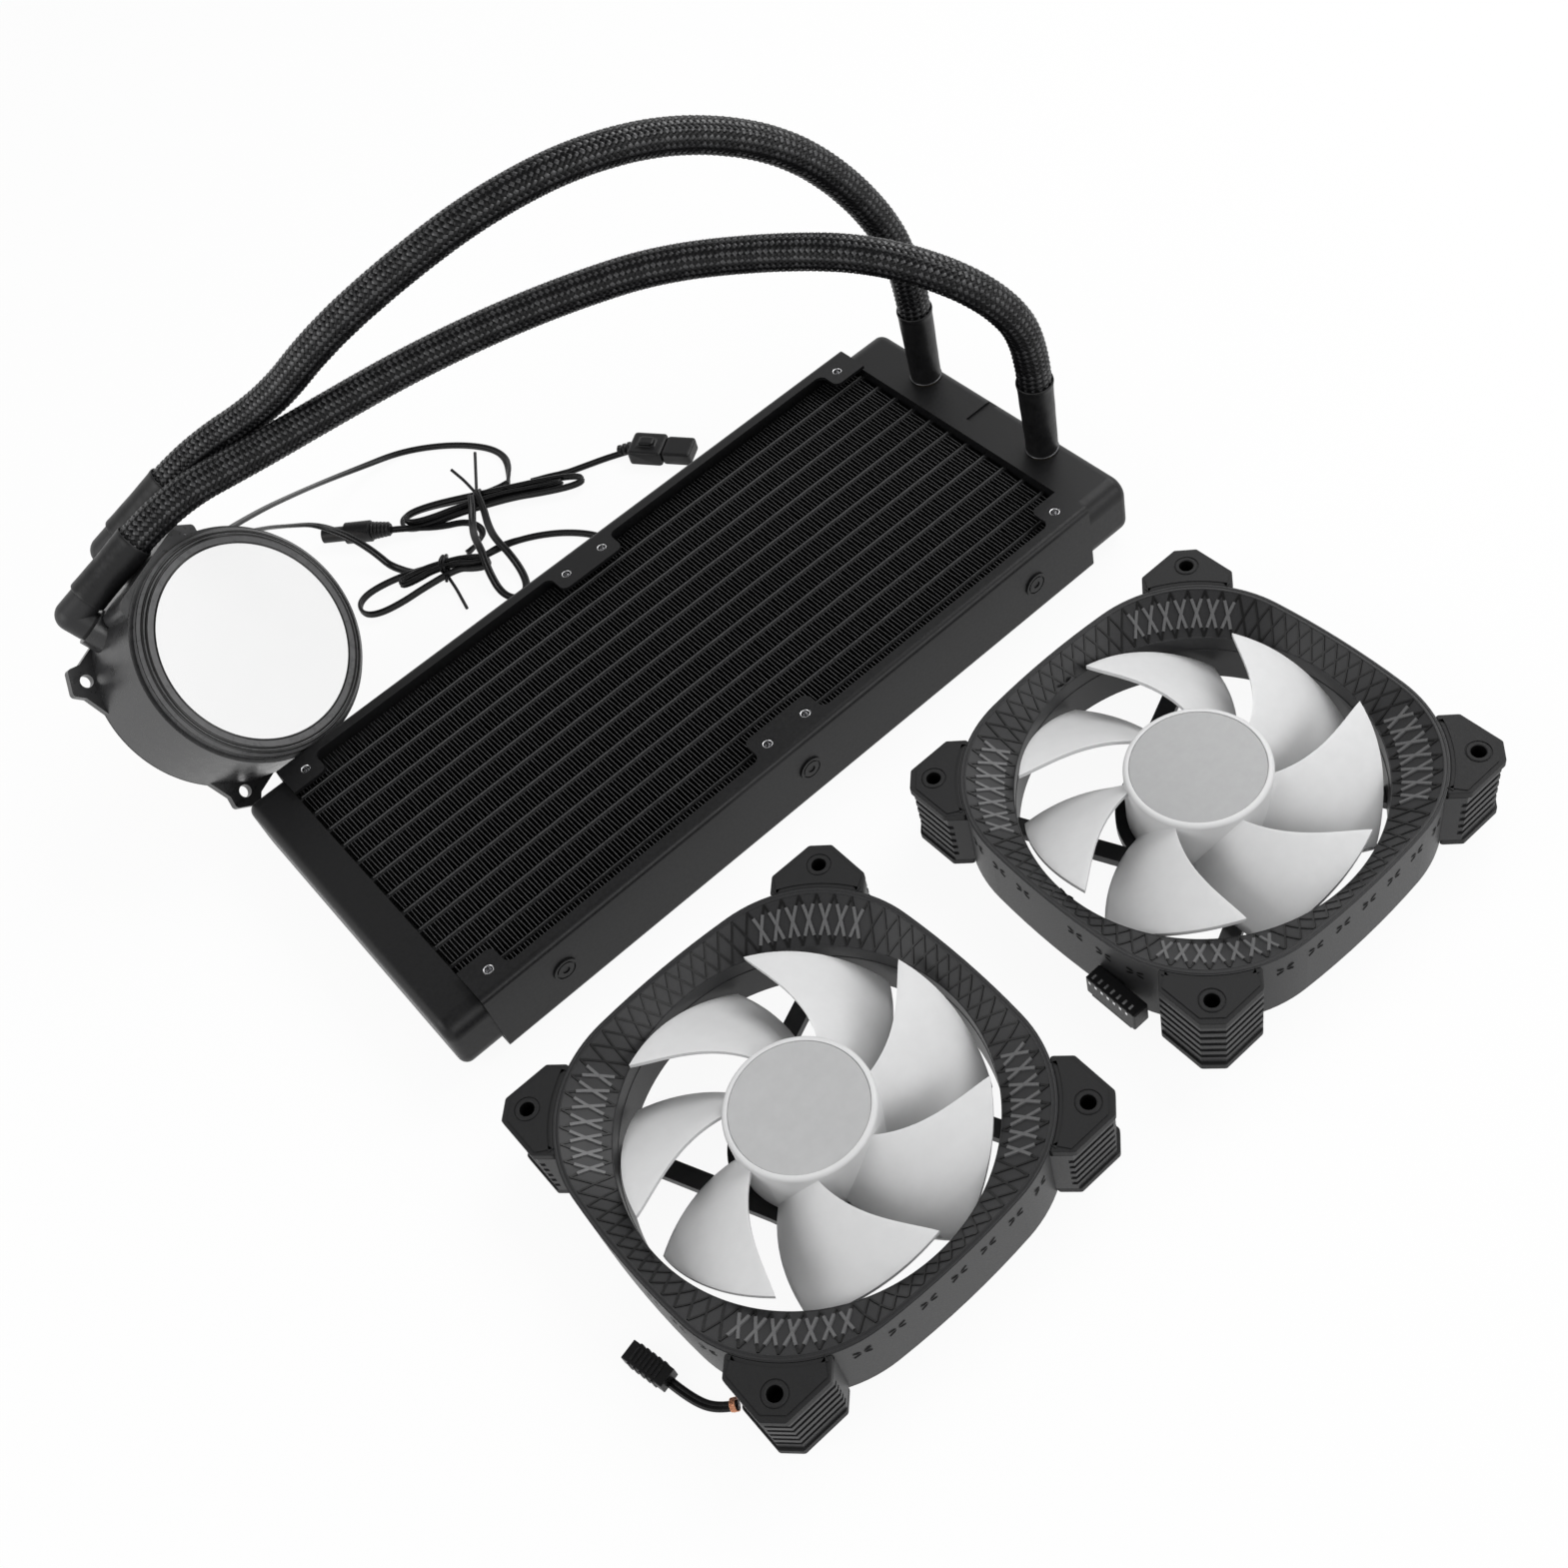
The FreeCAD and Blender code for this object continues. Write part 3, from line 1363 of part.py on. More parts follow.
LEAD_BARREL = [
    (-30.0, 145.0, 4.1), (-24.9, 140.2, 4.1), (-16.5, 134.0, 1.6), (-7.5, 128.0, 1.5),
    (-6.0, 119.5, 1.5), (-11.0, 115.0, 1.5), (-17.2, 114.2, 1.5)]
LEAD_LOOP = [
    (-2.0, 132.8, 4.4), (-3.4, 122.0, 4.8), (-5.2, 111.0, 4.9), (-7.0, 101.0, 4.0), (-8.9, 90.5, 1.5),
    (-12.0, 83.5, 1.5), (-17.0, 84.0, 1.5), (-19.5, 90.5, 1.5), (-18.8, 98.5, 1.5), (-16.8, 107.0, 1.5)]
TAIL_FRONT = [
    (19.5, 124.6, 1.5), (28.0, 119.4, 1.5), (37.5, 115.3, 1.5), (46.5, 111.5, 1.5), (52.5, 106.8, 2.6)]
TAIL_REAR = [
    (-14.0, 108.0, 1.5), (-6.5, 107.4, 1.5), (1.0, 104.0, 1.5), (8.5, 98.5, 1.5), (15.0, 91.5, 1.5),
    (20.0, 83.0, 1.5), (21.5, 74.5, 2.6)]
FAN_LEFT_LEAD = [
    (-136.8, -187.3, 2.6), (-141.0, -184.5, 1.8), (-144.6, -178.0, 1.6), (-146.0, -170.5, 2.0)]


def corner_radius(before, point, after):
    """0.45 of the shorter run, over the tangent of half the turn."""
    first = point - before
    second = after - point
    turn = first.getAngle(second)
    return 0.45 * min(first.Length, second.Length) / math.tan(turn / 2), turn


def cord_line(points):
    """Straight runs joined by tangent arcs."""
    edges = []
    reached = points[0]
    radii = []
    for before, point, after in zip(points, points[1:], points[2:]):
        radius, turn = corner_radius(before, point, after)
        radii.append(round(radius, 1))
        inset = radius * math.tan(turn / 2)
        back = (before - point).normalize()
        ahead = (after - point).normalize()
        start = point + back * inset
        end = point + ahead * inset
        inward = (back + ahead).normalize()
        middle = point + inward * (radius / math.cos(turn / 2) - radius)
        edges.append(Part.LineSegment(reached, start).toShape())
        edges.append(Part.Arc(start, middle, end).toShape())
        reached = end
    edges.append(Part.LineSegment(reached, points[-1]).toShape())
    return Part.Wire(edges), radii


def cord(label, route, radius):
    """A round tube along a route, with its bend radii and its volume printed."""
    points = [Vector(*point) for point in route]
    line, radii = cord_line(points)
    ring = Part.Wire(Part.Circle(points[0], points[1] - points[0], float(radius)).toShape())
    tube = line.makePipeShell([ring], True, False)
    section = math.pi * float(radius) ** 2
    share = tube.Volume / (section * line.Length)
    print("%s: length %.1f, volume ratio %.4f, radii %s" % (label, line.Length, share, radii))
    return node(free_shape(label, tube), label)


cord("hose_front", HOSE_FRONT, S.hose_radius)
cord("hose_rear", HOSE_REAR, S.hose_radius)
cord("lead_front", LEAD_FRONT, S.lead_radius)
cord("lead_rear", LEAD_REAR, S.lead_radius)
cord("lead_barrel", LEAD_BARREL, S.lead_radius)
cord("lead_loop", LEAD_LOOP, S.lead_radius)
cord("tail_front", TAIL_FRONT, S.lead_radius)
cord("tail_rear", TAIL_REAR, S.lead_radius)
cord("fan_left_lead", FAN_LEFT_LEAD, S.lead_radius)

# Bundles, ties and plugs


def waisted_bundle(label, waist, turn, left, right, placement=STILL):
    """A flat bundle of loops: a round lobe at each end and a straight waist under its tie."""
    height = S.hank_height
    across = SIZES["tie_half_span"]
    ahead = Rotation(Z_WAY, turn).multVec(X_WAY)
    beside = Rotation(Z_WAY, turn).multVec(Y_WAY)
    half_tie = SIZES["tie_width"] / 2
    floor = vec(0, 0, S.floor_gap)
    pieces = [block(S.tie_width + S.waist_overlap * 2, S.tie_half_span * 2, height - S.tie_sheet * 2,
                    waist + floor + vec(0, 0, S.tie_sheet), turn)]
    for (x, y, radius), sign in ((left, -1), (right, 1)):
        lobe = Vector(x, y, 0)
        neck = waist + ahead * (half_tie * sign)
        square = (lobe - neck).normalize().cross(Z_WAY)
        corners = [neck + beside * across * sign, lobe + square * -radius, lobe + square * radius,
                   neck - beside * across * sign]
        corners = [corner + floor for corner in corners]
        plan = free_shape("bundle_plan", Part.makePolygon(corners + corners[:1]))
        pieces.append(extrude(plan, height))
        pieces.append(rod(radius, height, lobe + floor, Z_WAY))
    return node(fuse(*pieces), label, placement)


def tie(waist, turn):
    """A flat band around the waist of a bundle."""
    sheet = S.tie_sheet
    across = S.tie_half_span * 2
    floor = waist + vec(0, 0, S.floor_gap)
    outer = block(S.tie_width, across + sheet * 2, S.hank_height, floor, turn)
    inner = block(S.tie_width, across, S.hank_height - sheet * 2, floor + vec(0, 0, sheet), turn)
    return cut(outer, inner)


front_waist = Vector(3, 135, 0)
rear_waist = Vector(-26, 115, 0)
waisted_bundle("bundle_front", front_waist, -32.0, (-21.0, 144.5, 3.6), (27.0, 110.0, 4.6))
waisted_bundle("bundle_rear", rear_waist, -25.0, (-53.5, 122.0, 4.6), (-16.5, 109.5, 3.6))
ties = doc.addObject("Part::Compound", "ties")
ties.Links = [tie(front_waist, -32.0), tie(rear_waist, -25.0)]
node(ties, "bundle_ties")


def plug_place(x, y, turn, height=0.0):
    """A place on the table for a plug that points along its own X axis."""
    return Placement(vec(x, y, height), Rotation(Z_WAY, float(turn)))


def barrel_plug():
    """A round power plug: strain relief, grip and metal sleeve."""
    zero = size(0)
    collar = S.barrel_relief_length + (S.barrel_grip_radius - S.barrel_collar_radius) * 0.6
    body = turned_body("barrel_plug", [
        (zero, zero), (S.barrel_relief_radius, zero), (S.barrel_collar_radius, S.barrel_relief_length),
        (S.barrel_grip_radius, collar), (S.barrel_grip_radius, S.barrel_grip_end),
        (S.barrel_tip_radius, S.barrel_grip_end), (S.barrel_tip_radius, S.barrel_length),
        (zero, S.barrel_length)])
    place = plug_place(S.barrel_x, S.barrel_y, S.barrel_turn, S.barrel_axis_height)
    node(body, "barrel_plug", place.multiply(Placement(Vector(), Rotation(Z_WAY, X_WAY))))


barrel_plug()


def inline_connector():
    """The socket and plug of the front lead's joint, end to end on the table."""
    low = S.floor_gap
    socket = block(S.socket_length, S.socket_width, S.socket_height, vec(S.socket_length / 2, 0, low))
    guide = block(S.guide_length, S.guide_width, S.guide_height,
                  vec(S.socket_length / 2, 0, low + S.socket_height))
    plug = block(S.joint_plug_length, S.joint_plug_width, S.joint_plug_height,
                 vec(S.socket_length + S.joint_plug_length / 2, 0,
                     low + (S.socket_height - S.joint_plug_height) / 2))
    group("lead_joint", plug_place(S.joint_x, S.joint_y, S.joint_turn), fuse(socket, guide), plug)


inline_connector()


def power_plug():
    """The wide flat plug behind the radiator, at the end of the rear lead."""
    body = block(S.power_plug_length, S.power_plug_width, S.power_plug_height, vec(0, 0, S.floor_gap))
    node(body, "power_plug", plug_place(S.power_plug_x, S.power_plug_y, 0))


power_plug()


def fan_left_plug():
    """A slim fan plug with ribs across it."""
    low = S.floor_gap
    shell = block(S.fan_plug_length, S.fan_plug_width, S.fan_plug_height, vec(S.fan_plug_length / 2, 0, low))
    ribs = [block(S.fan_plug_rib_thickness, S.fan_plug_rib_width, S.fan_plug_height,
                  vec(S.fan_plug_rib_start + S.fan_plug_rib_pitch * k, 0, low))
            for k in range(int(SIZES["fan_plug_ribs"]))]
    node(fuse(shell, *ribs), "fan_left_plug", plug_place(S.fan_plug_x, S.fan_plug_y, S.fan_plug_turn))


fan_left_plug()


def fan_right_plug():
    """A wide flat plug that lies against the right fan, with its ribbon folded under it."""
    place = fan_right_place.multiply(plug_place(S.side_plug_x, S.side_plug_y, 0, S.side_plug_lift))
    plug = block(S.side_plug_thickness, S.side_plug_length, S.side_plug_height, Vector())
    node(plug, "fan_right_plug", place)
    start = vec(0, S.ribbon_width / 2, 0)
    curl = cut(rod(S.ribbon_bend, S.ribbon_width, start, -Y_WAY),
               rod(S.ribbon_bend - S.ribbon_sheet, S.ribbon_width, start, -Y_WAY),
               block(S.ribbon_bend * 3, S.ribbon_width, S.ribbon_bend * 2, Vector()))
    node(curl, "fan_right_ribbon", place)


fan_right_plug()
doc.recompute()


def check_document():
    """Stops if an object failed or a sub-part's shape is missing or broken."""
    for thing in doc.Objects:
        if "Invalid" in thing.State or "Error" in thing.State:
            raise RuntimeError("%s failed: %s" % (thing.Label, thing.State))
    for thing in nodes:
        if thing.Shape.isNull() or not thing.Shape.isValid() or not thing.Shape.Solids:
            raise RuntimeError("%s has no valid solid" % thing.Label)
    labels = [thing.Label for thing in nodes]
    if len(set(labels)) != len(labels):
        raise RuntimeError("two sub-parts share a label")


check_document()
os.makedirs("parts", exist_ok=True)
for thing in nodes:
    thing.Shape.exportStep("parts/%s.step" % thing.Label)
print("%d nodes written" % len(nodes))
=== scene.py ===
import json
import math

import bpy
import numpy as np
from mathutils import Matrix, Vector
from mathutils.bvhtree import BVHTree


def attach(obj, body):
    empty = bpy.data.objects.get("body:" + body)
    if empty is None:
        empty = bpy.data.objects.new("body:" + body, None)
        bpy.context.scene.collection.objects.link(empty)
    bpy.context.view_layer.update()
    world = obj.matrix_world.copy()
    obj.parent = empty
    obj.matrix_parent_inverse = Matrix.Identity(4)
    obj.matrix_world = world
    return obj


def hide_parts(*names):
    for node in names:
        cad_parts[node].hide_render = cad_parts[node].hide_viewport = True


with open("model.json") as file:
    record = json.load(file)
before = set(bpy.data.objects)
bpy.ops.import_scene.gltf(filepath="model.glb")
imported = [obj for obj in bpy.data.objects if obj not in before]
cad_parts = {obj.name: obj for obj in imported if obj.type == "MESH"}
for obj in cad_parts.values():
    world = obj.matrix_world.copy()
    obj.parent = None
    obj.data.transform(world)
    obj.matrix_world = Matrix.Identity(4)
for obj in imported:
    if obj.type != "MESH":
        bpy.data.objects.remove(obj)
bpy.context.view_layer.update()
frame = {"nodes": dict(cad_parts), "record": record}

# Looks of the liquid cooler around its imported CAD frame. Blender works in metres. Sizes and
# places here are in millimetres, as in the part's own source, and the helpers convert them.

NODES = frame["nodes"]
UP = np.array((0.0, 0.0, 1.0))
COOLER = "cooler"
# One millimetre in metres, and one metre in millimetres
METRES = 0.001
MILLIMETRES = 1000.0


def mm(*values):
    """Millimetres in metres: one number, or a Vector of three."""
    if len(values) == 1:
        return values[0] * METRES
    return Vector(values) * METRES


# Camera and light

IMAGE_SIDE = 1569
FOCAL_PIXELS = 1842.1
SENSOR = 36.0
CAMERA_PLACE = mm(-152.02, -362.65, 453.01)
CAMERA_RIGHT = Vector((0.74795, -0.63407, -0.19629))
CAMERA_DOWN = Vector((-0.61165, -0.54357, -0.57482))
CAMERA_FORWARD = Vector((0.25778, 0.55000, -0.79439))
CLIP_NEAR = 10.0
CLIP_FAR = 10000.0

# The sky's light on the object, and what reflects of it low down and overhead
SKY_LIGHT = 0.44
HORIZON_SHINE = 0.95
ZENITH_SHINE = 0.22
HORIZON_RISE = 0.55
ZENITH_RISE = 0.8
# Lamps: name, place, target, sides in metres, watts
LAMPS = (
    ("key", (760, 60, 850), (0, 0, 0), (0.8, 0.6), 6.0),
    ("left", (-800, 100, 500), (-50, 0, 0), (0.6, 0.6), 2.5),
    ("front", (300, -900, 500), (0, -100, 0), (0.9, 0.4), 3.0))

FLOOR_SIDE = 6000.0
FLOOR_DROP = 0.05
FLOOR_COLOR = (0.9, 0.9, 0.9, 1)
FLOOR_GLOW = 0.93
WHITE = (1, 1, 1, 1)


def make_camera():
    data = bpy.data.cameras.new("camera")
    data.sensor_width = SENSOR
    data.lens = FOCAL_PIXELS / IMAGE_SIDE * SENSOR
    data.clip_start = mm(CLIP_NEAR)
    data.clip_end = mm(CLIP_FAR)
    camera = bpy.data.objects.new("camera", data)
    turn = Matrix((CAMERA_RIGHT, -CAMERA_DOWN, -CAMERA_FORWARD)).transposed()
    camera.matrix_world = Matrix.Translation(CAMERA_PLACE) @ turn.to_4x4()
    bpy.context.scene.collection.objects.link(camera)
    bpy.context.scene.camera = camera


def area_light(name, place, target, size, power):
    data = bpy.data.lights.new(name, "AREA")
    data.shape = "RECTANGLE"
    data.size, data.size_y = size
    data.energy = power
    light = bpy.data.objects.new(name, data)
    turn = (mm(*target) - mm(*place)).to_track_quat("-Z", "Y")
    light.matrix_world = Matrix.Translation(mm(*place)) @ turn.to_matrix().to_4x4()
    bpy.context.scene.collection.objects.link(light)


def background(nodes, strength):
    """A white background of the world."""
    pale = nodes.new("ShaderNodeBackground")
    pale.inputs["Color"].default_value = WHITE
    pale.inputs["Strength"].default_value = strength
    return pale


def mixed(nodes, links, share, first, second):
    """Two shaders mixed by the value of a socket."""
    mix = nodes.new("ShaderNodeMixShader")
    links.new(share, mix.inputs["Fac"])
    links.new(first.outputs[0], mix.inputs[1])
    links.new(second.outputs[0], mix.inputs[2])
    return mix


def ranged(nodes, links, value, span, result):
    """A socket's value carried from one span to another."""
    carry = nodes.new("ShaderNodeMapRange")
    for name, number in zip(("From Min", "From Max", "To Min", "To Max"), (*span, *result)):
        carry.inputs[name].default_value = number
    links.new(value, carry.inputs["Value"])
    return carry.outputs["Result"]


def make_light():
    """A soft white sky, white to the camera and near the horizon for what reflects, and lamps."""
    scene = bpy.context.scene
    scene.view_settings.view_transform = "Standard"
    world = bpy.data.worlds.new("studio")
    scene.world = world
    world.use_nodes = True
    nodes, links = world.node_tree.nodes, world.node_tree.links
    nodes.clear()
    out = nodes.new("ShaderNodeOutputWorld")
    soft = background(nodes, SKY_LIGHT)
    white = background(nodes, 1.0)
    shine = background(nodes, HORIZON_SHINE)
    place = nodes.new("ShaderNodeTexCoord")
    split = nodes.new("ShaderNodeSeparateXYZ")
    links.new(place.outputs["Generated"], split.inputs[0])
    links.new(ranged(nodes, links, split.outputs["Z"], (HORIZON_RISE, ZENITH_RISE),
                     (HORIZON_SHINE, ZENITH_SHINE)), shine.inputs["Strength"])
    path = nodes.new("ShaderNodeLightPath")
    glossy = mixed(nodes, links, path.outputs["Is Glossy Ray"], soft, shine)
    seen = mixed(nodes, links, path.outputs["Is Camera Ray"], glossy, white)
    links.new(seen.outputs[0], out.inputs["Surface"])
    for lamp in LAMPS:
        area_light(*lamp)


def make_floor():
    """A pale floor that keeps the object's soft shadow and shows near white to camera and gloss."""
    bpy.ops.mesh.primitive_plane_add(size=mm(FLOOR_SIDE), location=mm(0, 0, -FLOOR_DROP))
    floor = bpy.context.object
    floor.name = "floor"
    material = bpy.data.materials.new("floor")
    material.use_nodes = True
    nodes, links = material.node_tree.nodes, material.node_tree.links
    nodes.clear()
    out = nodes.new("ShaderNodeOutputMaterial")
    matte = nodes.new("ShaderNodeBsdfDiffuse")
    matte.inputs["Color"].default_value = FLOOR_COLOR
    glow = nodes.new("ShaderNodeEmission")
    path = nodes.new("ShaderNodeLightPath")
    either = nodes.new("ShaderNodeMath")
    either.operation = "MAXIMUM"
    share = nodes.new("ShaderNodeMath")
    share.operation = "MULTIPLY"
    share.inputs[1].default_value = FLOOR_GLOW
    links.new(path.outputs["Is Camera Ray"], either.inputs[0])
    links.new(path.outputs["Is Glossy Ray"], either.inputs[1])
    links.new(either.outputs[0], share.inputs[0])
    seen = mixed(nodes, links, share.outputs[0], matte, glow)
    links.new(seen.outputs[0], out.inputs["Surface"])
    floor.data.materials.append(material)


make_camera()
make_light()
make_floor()


# Materials

# Grain: the noise values between which it runs from one end of its spread to the other
GRAIN_SPAN = (0.3, 0.7)
GRAIN_ROUGHNESS = 0.6


def grained(name, color, roughness, scale, strength, depth, metallic=0.0, specular=0.5,
            color_spread=0.15, rough_spread=0.06, detail=4.0):
    """A Principled material with fine grain: a noise that roughens, tints and raises it.

    Strength and depth are the bump's. The spreads say how far the grain takes the colour, as a
    share, and the roughness.
    """
    material = bpy.data.materials.new(name)
    material.use_nodes = True
    nodes, links = material.node_tree.nodes, material.node_tree.links
    shader = nodes["Principled BSDF"]
    shader.inputs["Base Color"].default_value = (*color, 1)
    shader.inputs["Roughness"].default_value = roughness
    shader.inputs["Metallic"].default_value = metallic
    shader.inputs["Specular IOR Level"].default_value = specular
    place = nodes.new("ShaderNodeTexCoord")
    noise = nodes.new("ShaderNodeTexNoise")
    noise.inputs["Scale"].default_value = scale
    noise.inputs["Detail"].default_value = detail
    noise.inputs["Roughness"].default_value = GRAIN_ROUGHNESS
    links.new(place.outputs["Object"], noise.inputs["Vector"])
    bump = nodes.new("ShaderNodeBump")
    bump.inputs["Strength"].default_value = strength
    bump.inputs["Distance"].default_value = mm(depth)
    links.new(noise.outputs["Fac"], bump.inputs["Height"])
    links.new(bump.outputs["Normal"], shader.inputs["Normal"])
    links.new(ranged(nodes, links, noise.outputs["Fac"], GRAIN_SPAN,
                     (roughness - rough_spread, roughness + rough_spread)),
              shader.inputs["Roughness"])
    ramp = nodes.new("ShaderNodeValToRGB")
    for stop, position, share in zip(ramp.color_ramp.elements, GRAIN_SPAN,
                                     (1 - color_spread, 1 + color_spread)):
        stop.position = position
        stop.color = (*(Vector(color) * share), 1)
    links.new(noise.outputs["Fac"], ramp.inputs["Fac"])
    links.new(ramp.outputs["Color"], shader.inputs["Base Color"])
    return material


BLACK_PAINT = grained("black_paint", (0.0065, 0.0065, 0.007), 0.42, 900, 0.25, 0.08, specular=0.3)
# Painted highlight and painted shade: lighter and darker copies of the fins' black paint
FIN_PAINTED_HIGHLIGHT = grained("fin_painted_highlight", (0.07, 0.07, 0.072), 0.45, 1500, 0.2, 0.04, specular=0.35,
                   color_spread=0.5)
FIN_PAINTED_SHADE = grained("fin_painted_shade", (0.003, 0.003, 0.003), 0.6, 500, 0.1, 0.05, specular=0.15)
# Painted highlight: a lighter copy of the tubes' black paint for lines along their edges
TUBE_PAINTED_HIGHLIGHT = grained("tube_painted_highlight", (0.045, 0.045, 0.046), 0.4, 900, 0.3, 0.06, specular=0.4,
                    color_spread=0.4)
TUBE_PAINT = grained("tube_paint", (0.006, 0.006, 0.0065), 0.5, 900, 0.3, 0.06, specular=0.2)
FAN_PLASTIC = grained("fan_plastic", (0.021, 0.021, 0.022), 0.45, 2400, 0.3, 0.05, specular=0.35)
# Painted highlight and painted shade: lighter and darker copies of the frame's plastic for its
# lattice
RAISED_PAINTED_HIGHLIGHT = grained("raised_painted_highlight", (0.11, 0.11, 0.112), 0.42, 2400, 0.2, 0.04)
RIB_PAINTED_SHADE = grained("rib_painted_shade", (0.004, 0.004, 0.004), 0.4, 2400, 0.2, 0.04, specular=0.3)
PAD_RUBBER = grained("pad_rubber", (0.012, 0.012, 0.0125), 0.6, 1800, 0.35, 0.08, specular=0.3)
# Painted shade: near black for recessed marks and the walls inside screw holes
RECESS_PAINTED_SHADE = grained("recess_painted_shade", (0.002, 0.002, 0.002), 0.7, 900, 0.1, 0.03, specular=0.1)
PUMP_PLASTIC = grained("pump_plastic", (0.03, 0.03, 0.031), 0.3, 300, 0.04, 0.03)
BEZEL_PLASTIC = grained("bezel_plastic", (0.105, 0.105, 0.107), 0.3, 300, 0.03, 0.03)
# Painted shade: gloss black for the bezel's gap and grooves and the pump's foot line
GROOVE_PAINTED_SHADE = grained("groove_painted_shade", (0.002, 0.002, 0.002), 0.15, 300, 0.02, 0.02, specular=0.4)
SLEEVE_RUBBER = grained("sleeve_rubber", (0.007, 0.007, 0.0075), 0.42, 420, 0.5, 0.2, specular=0.33,
                        detail=2.0)
BRAID = grained("braid", (0.0025, 0.0025, 0.003), 0.34, 3000, 0.4, 0.05, specular=0.25,
                color_spread=0.3)
# Painted glint: a lighter copy of the braid's black for the strands' uppermost faces
BRAID_PAINTED_GLINT = grained("braid_painted_glint", (0.038, 0.038, 0.04), 0.3, 3000, 0.3, 0.05, specular=0.6,
                    color_spread=0.3)
BRAID_GAP = grained("braid_gap", (0.002, 0.002, 0.002), 0.7, 600, 0.2, 0.05, specular=0.1)
CABLE_SHEATH = grained("cable_sheath", (0.004, 0.004, 0.0045), 0.3, 500, 0.2, 0.05, specular=0.3)
PLUG_PLASTIC = grained("plug_plastic", (0.005, 0.005, 0.0055), 0.42, 1500, 0.3, 0.05, specular=0.3)
CLAMP = grained("clamp", (0.1, 0.1, 0.105), 0.35, 600, 0.1, 0.03, metallic=1.0)
BRASS = grained("brass", (0.55, 0.42, 0.22), 0.3, 600, 0.1, 0.03, metallic=1.0)
COPPER = grained("copper", (0.72, 0.36, 0.22), 0.28, 600, 0.1, 0.03, metallic=1.0)
STEEL = grained("steel", (0.62, 0.62, 0.63), 0.22, 600, 0.1, 0.03, metallic=1.0)
BOARD = grained("board", (0.02, 0.07, 0.03), 0.4, 600, 0.1, 0.03)
DIFFUSER = grained("diffuser", (0.8, 0.8, 0.8), 0.5, 300, 0.03, 0.03, color_spread=0.02)
BLADE = grained("blade", (0.72, 0.722, 0.725), 0.42, 260, 0.05, 0.05, specular=0.35,
                color_spread=0.02, rough_spread=0.03)
CAP = grained("cap", (0.5, 0.502, 0.505), 0.22, 260, 0.03, 0.03, specular=0.4, color_spread=0.03,
              rough_spread=0.03)
# Painted shade: a darker copy of the cap's finish for the right fan's cap
CAP_PAINTED_SHADE = grained("cap_painted_shade", (0.34, 0.342, 0.345), 0.2, 260, 0.03, 0.03, color_spread=0.05,
                   rough_spread=0.03)
LENS = grained("lens", (0.985, 0.985, 0.985), 0.06, 50, 0.0, 0.01, metallic=0.8, color_spread=0.005,
               rough_spread=0.01)

FINISHES = {
    "black_metal": BLACK_PAINT, "brass_barb": BRASS, "hose_braid": SLEEVE_RUBBER,
    "sleeve_rubber": SLEEVE_RUBBER, "black_plastic": FAN_PLASTIC, "seal_rubber": PAD_RUBBER,
    "pump_shell": PUMP_PLASTIC, "bezel": BEZEL_PLASTIC, "lens": LENS, "diffuser": DIFFUSER,
    "board": BOARD, "stator_steel": STEEL, "white_plastic": DIFFUSER, "steel": STEEL,
    "copper": COPPER, "lead": CABLE_SHEATH, "tie": CABLE_SHEATH, "plug_plastic": PLUG_PLASTIC,
    "fan_frame": FAN_PLASTIC, "fan_pad": PAD_RUBBER, "blade_white": BLADE, "hub_cap": CAP,
}


def finish_nodes():
    """Gives each CAD node its slot's finish, but for the tubes and the painted-shade right cap."""
    for part in frame["record"]["subparts"]:
        thing = NODES[part["node"]]
        thing.data.materials.clear()
        thing.data.materials.append(FINISHES[part["material_slot"]])
    NODES["radiator_tubes"].data.materials[0] = TUBE_PAINT
    # The right fan's cap takes the darker copy of the cap's finish, as painted shade
    NODES["fan_right_hub_cap"].data.materials[0] = CAP_PAINTED_SHADE


finish_nodes()


# Meshes from rows of points, in millimetres

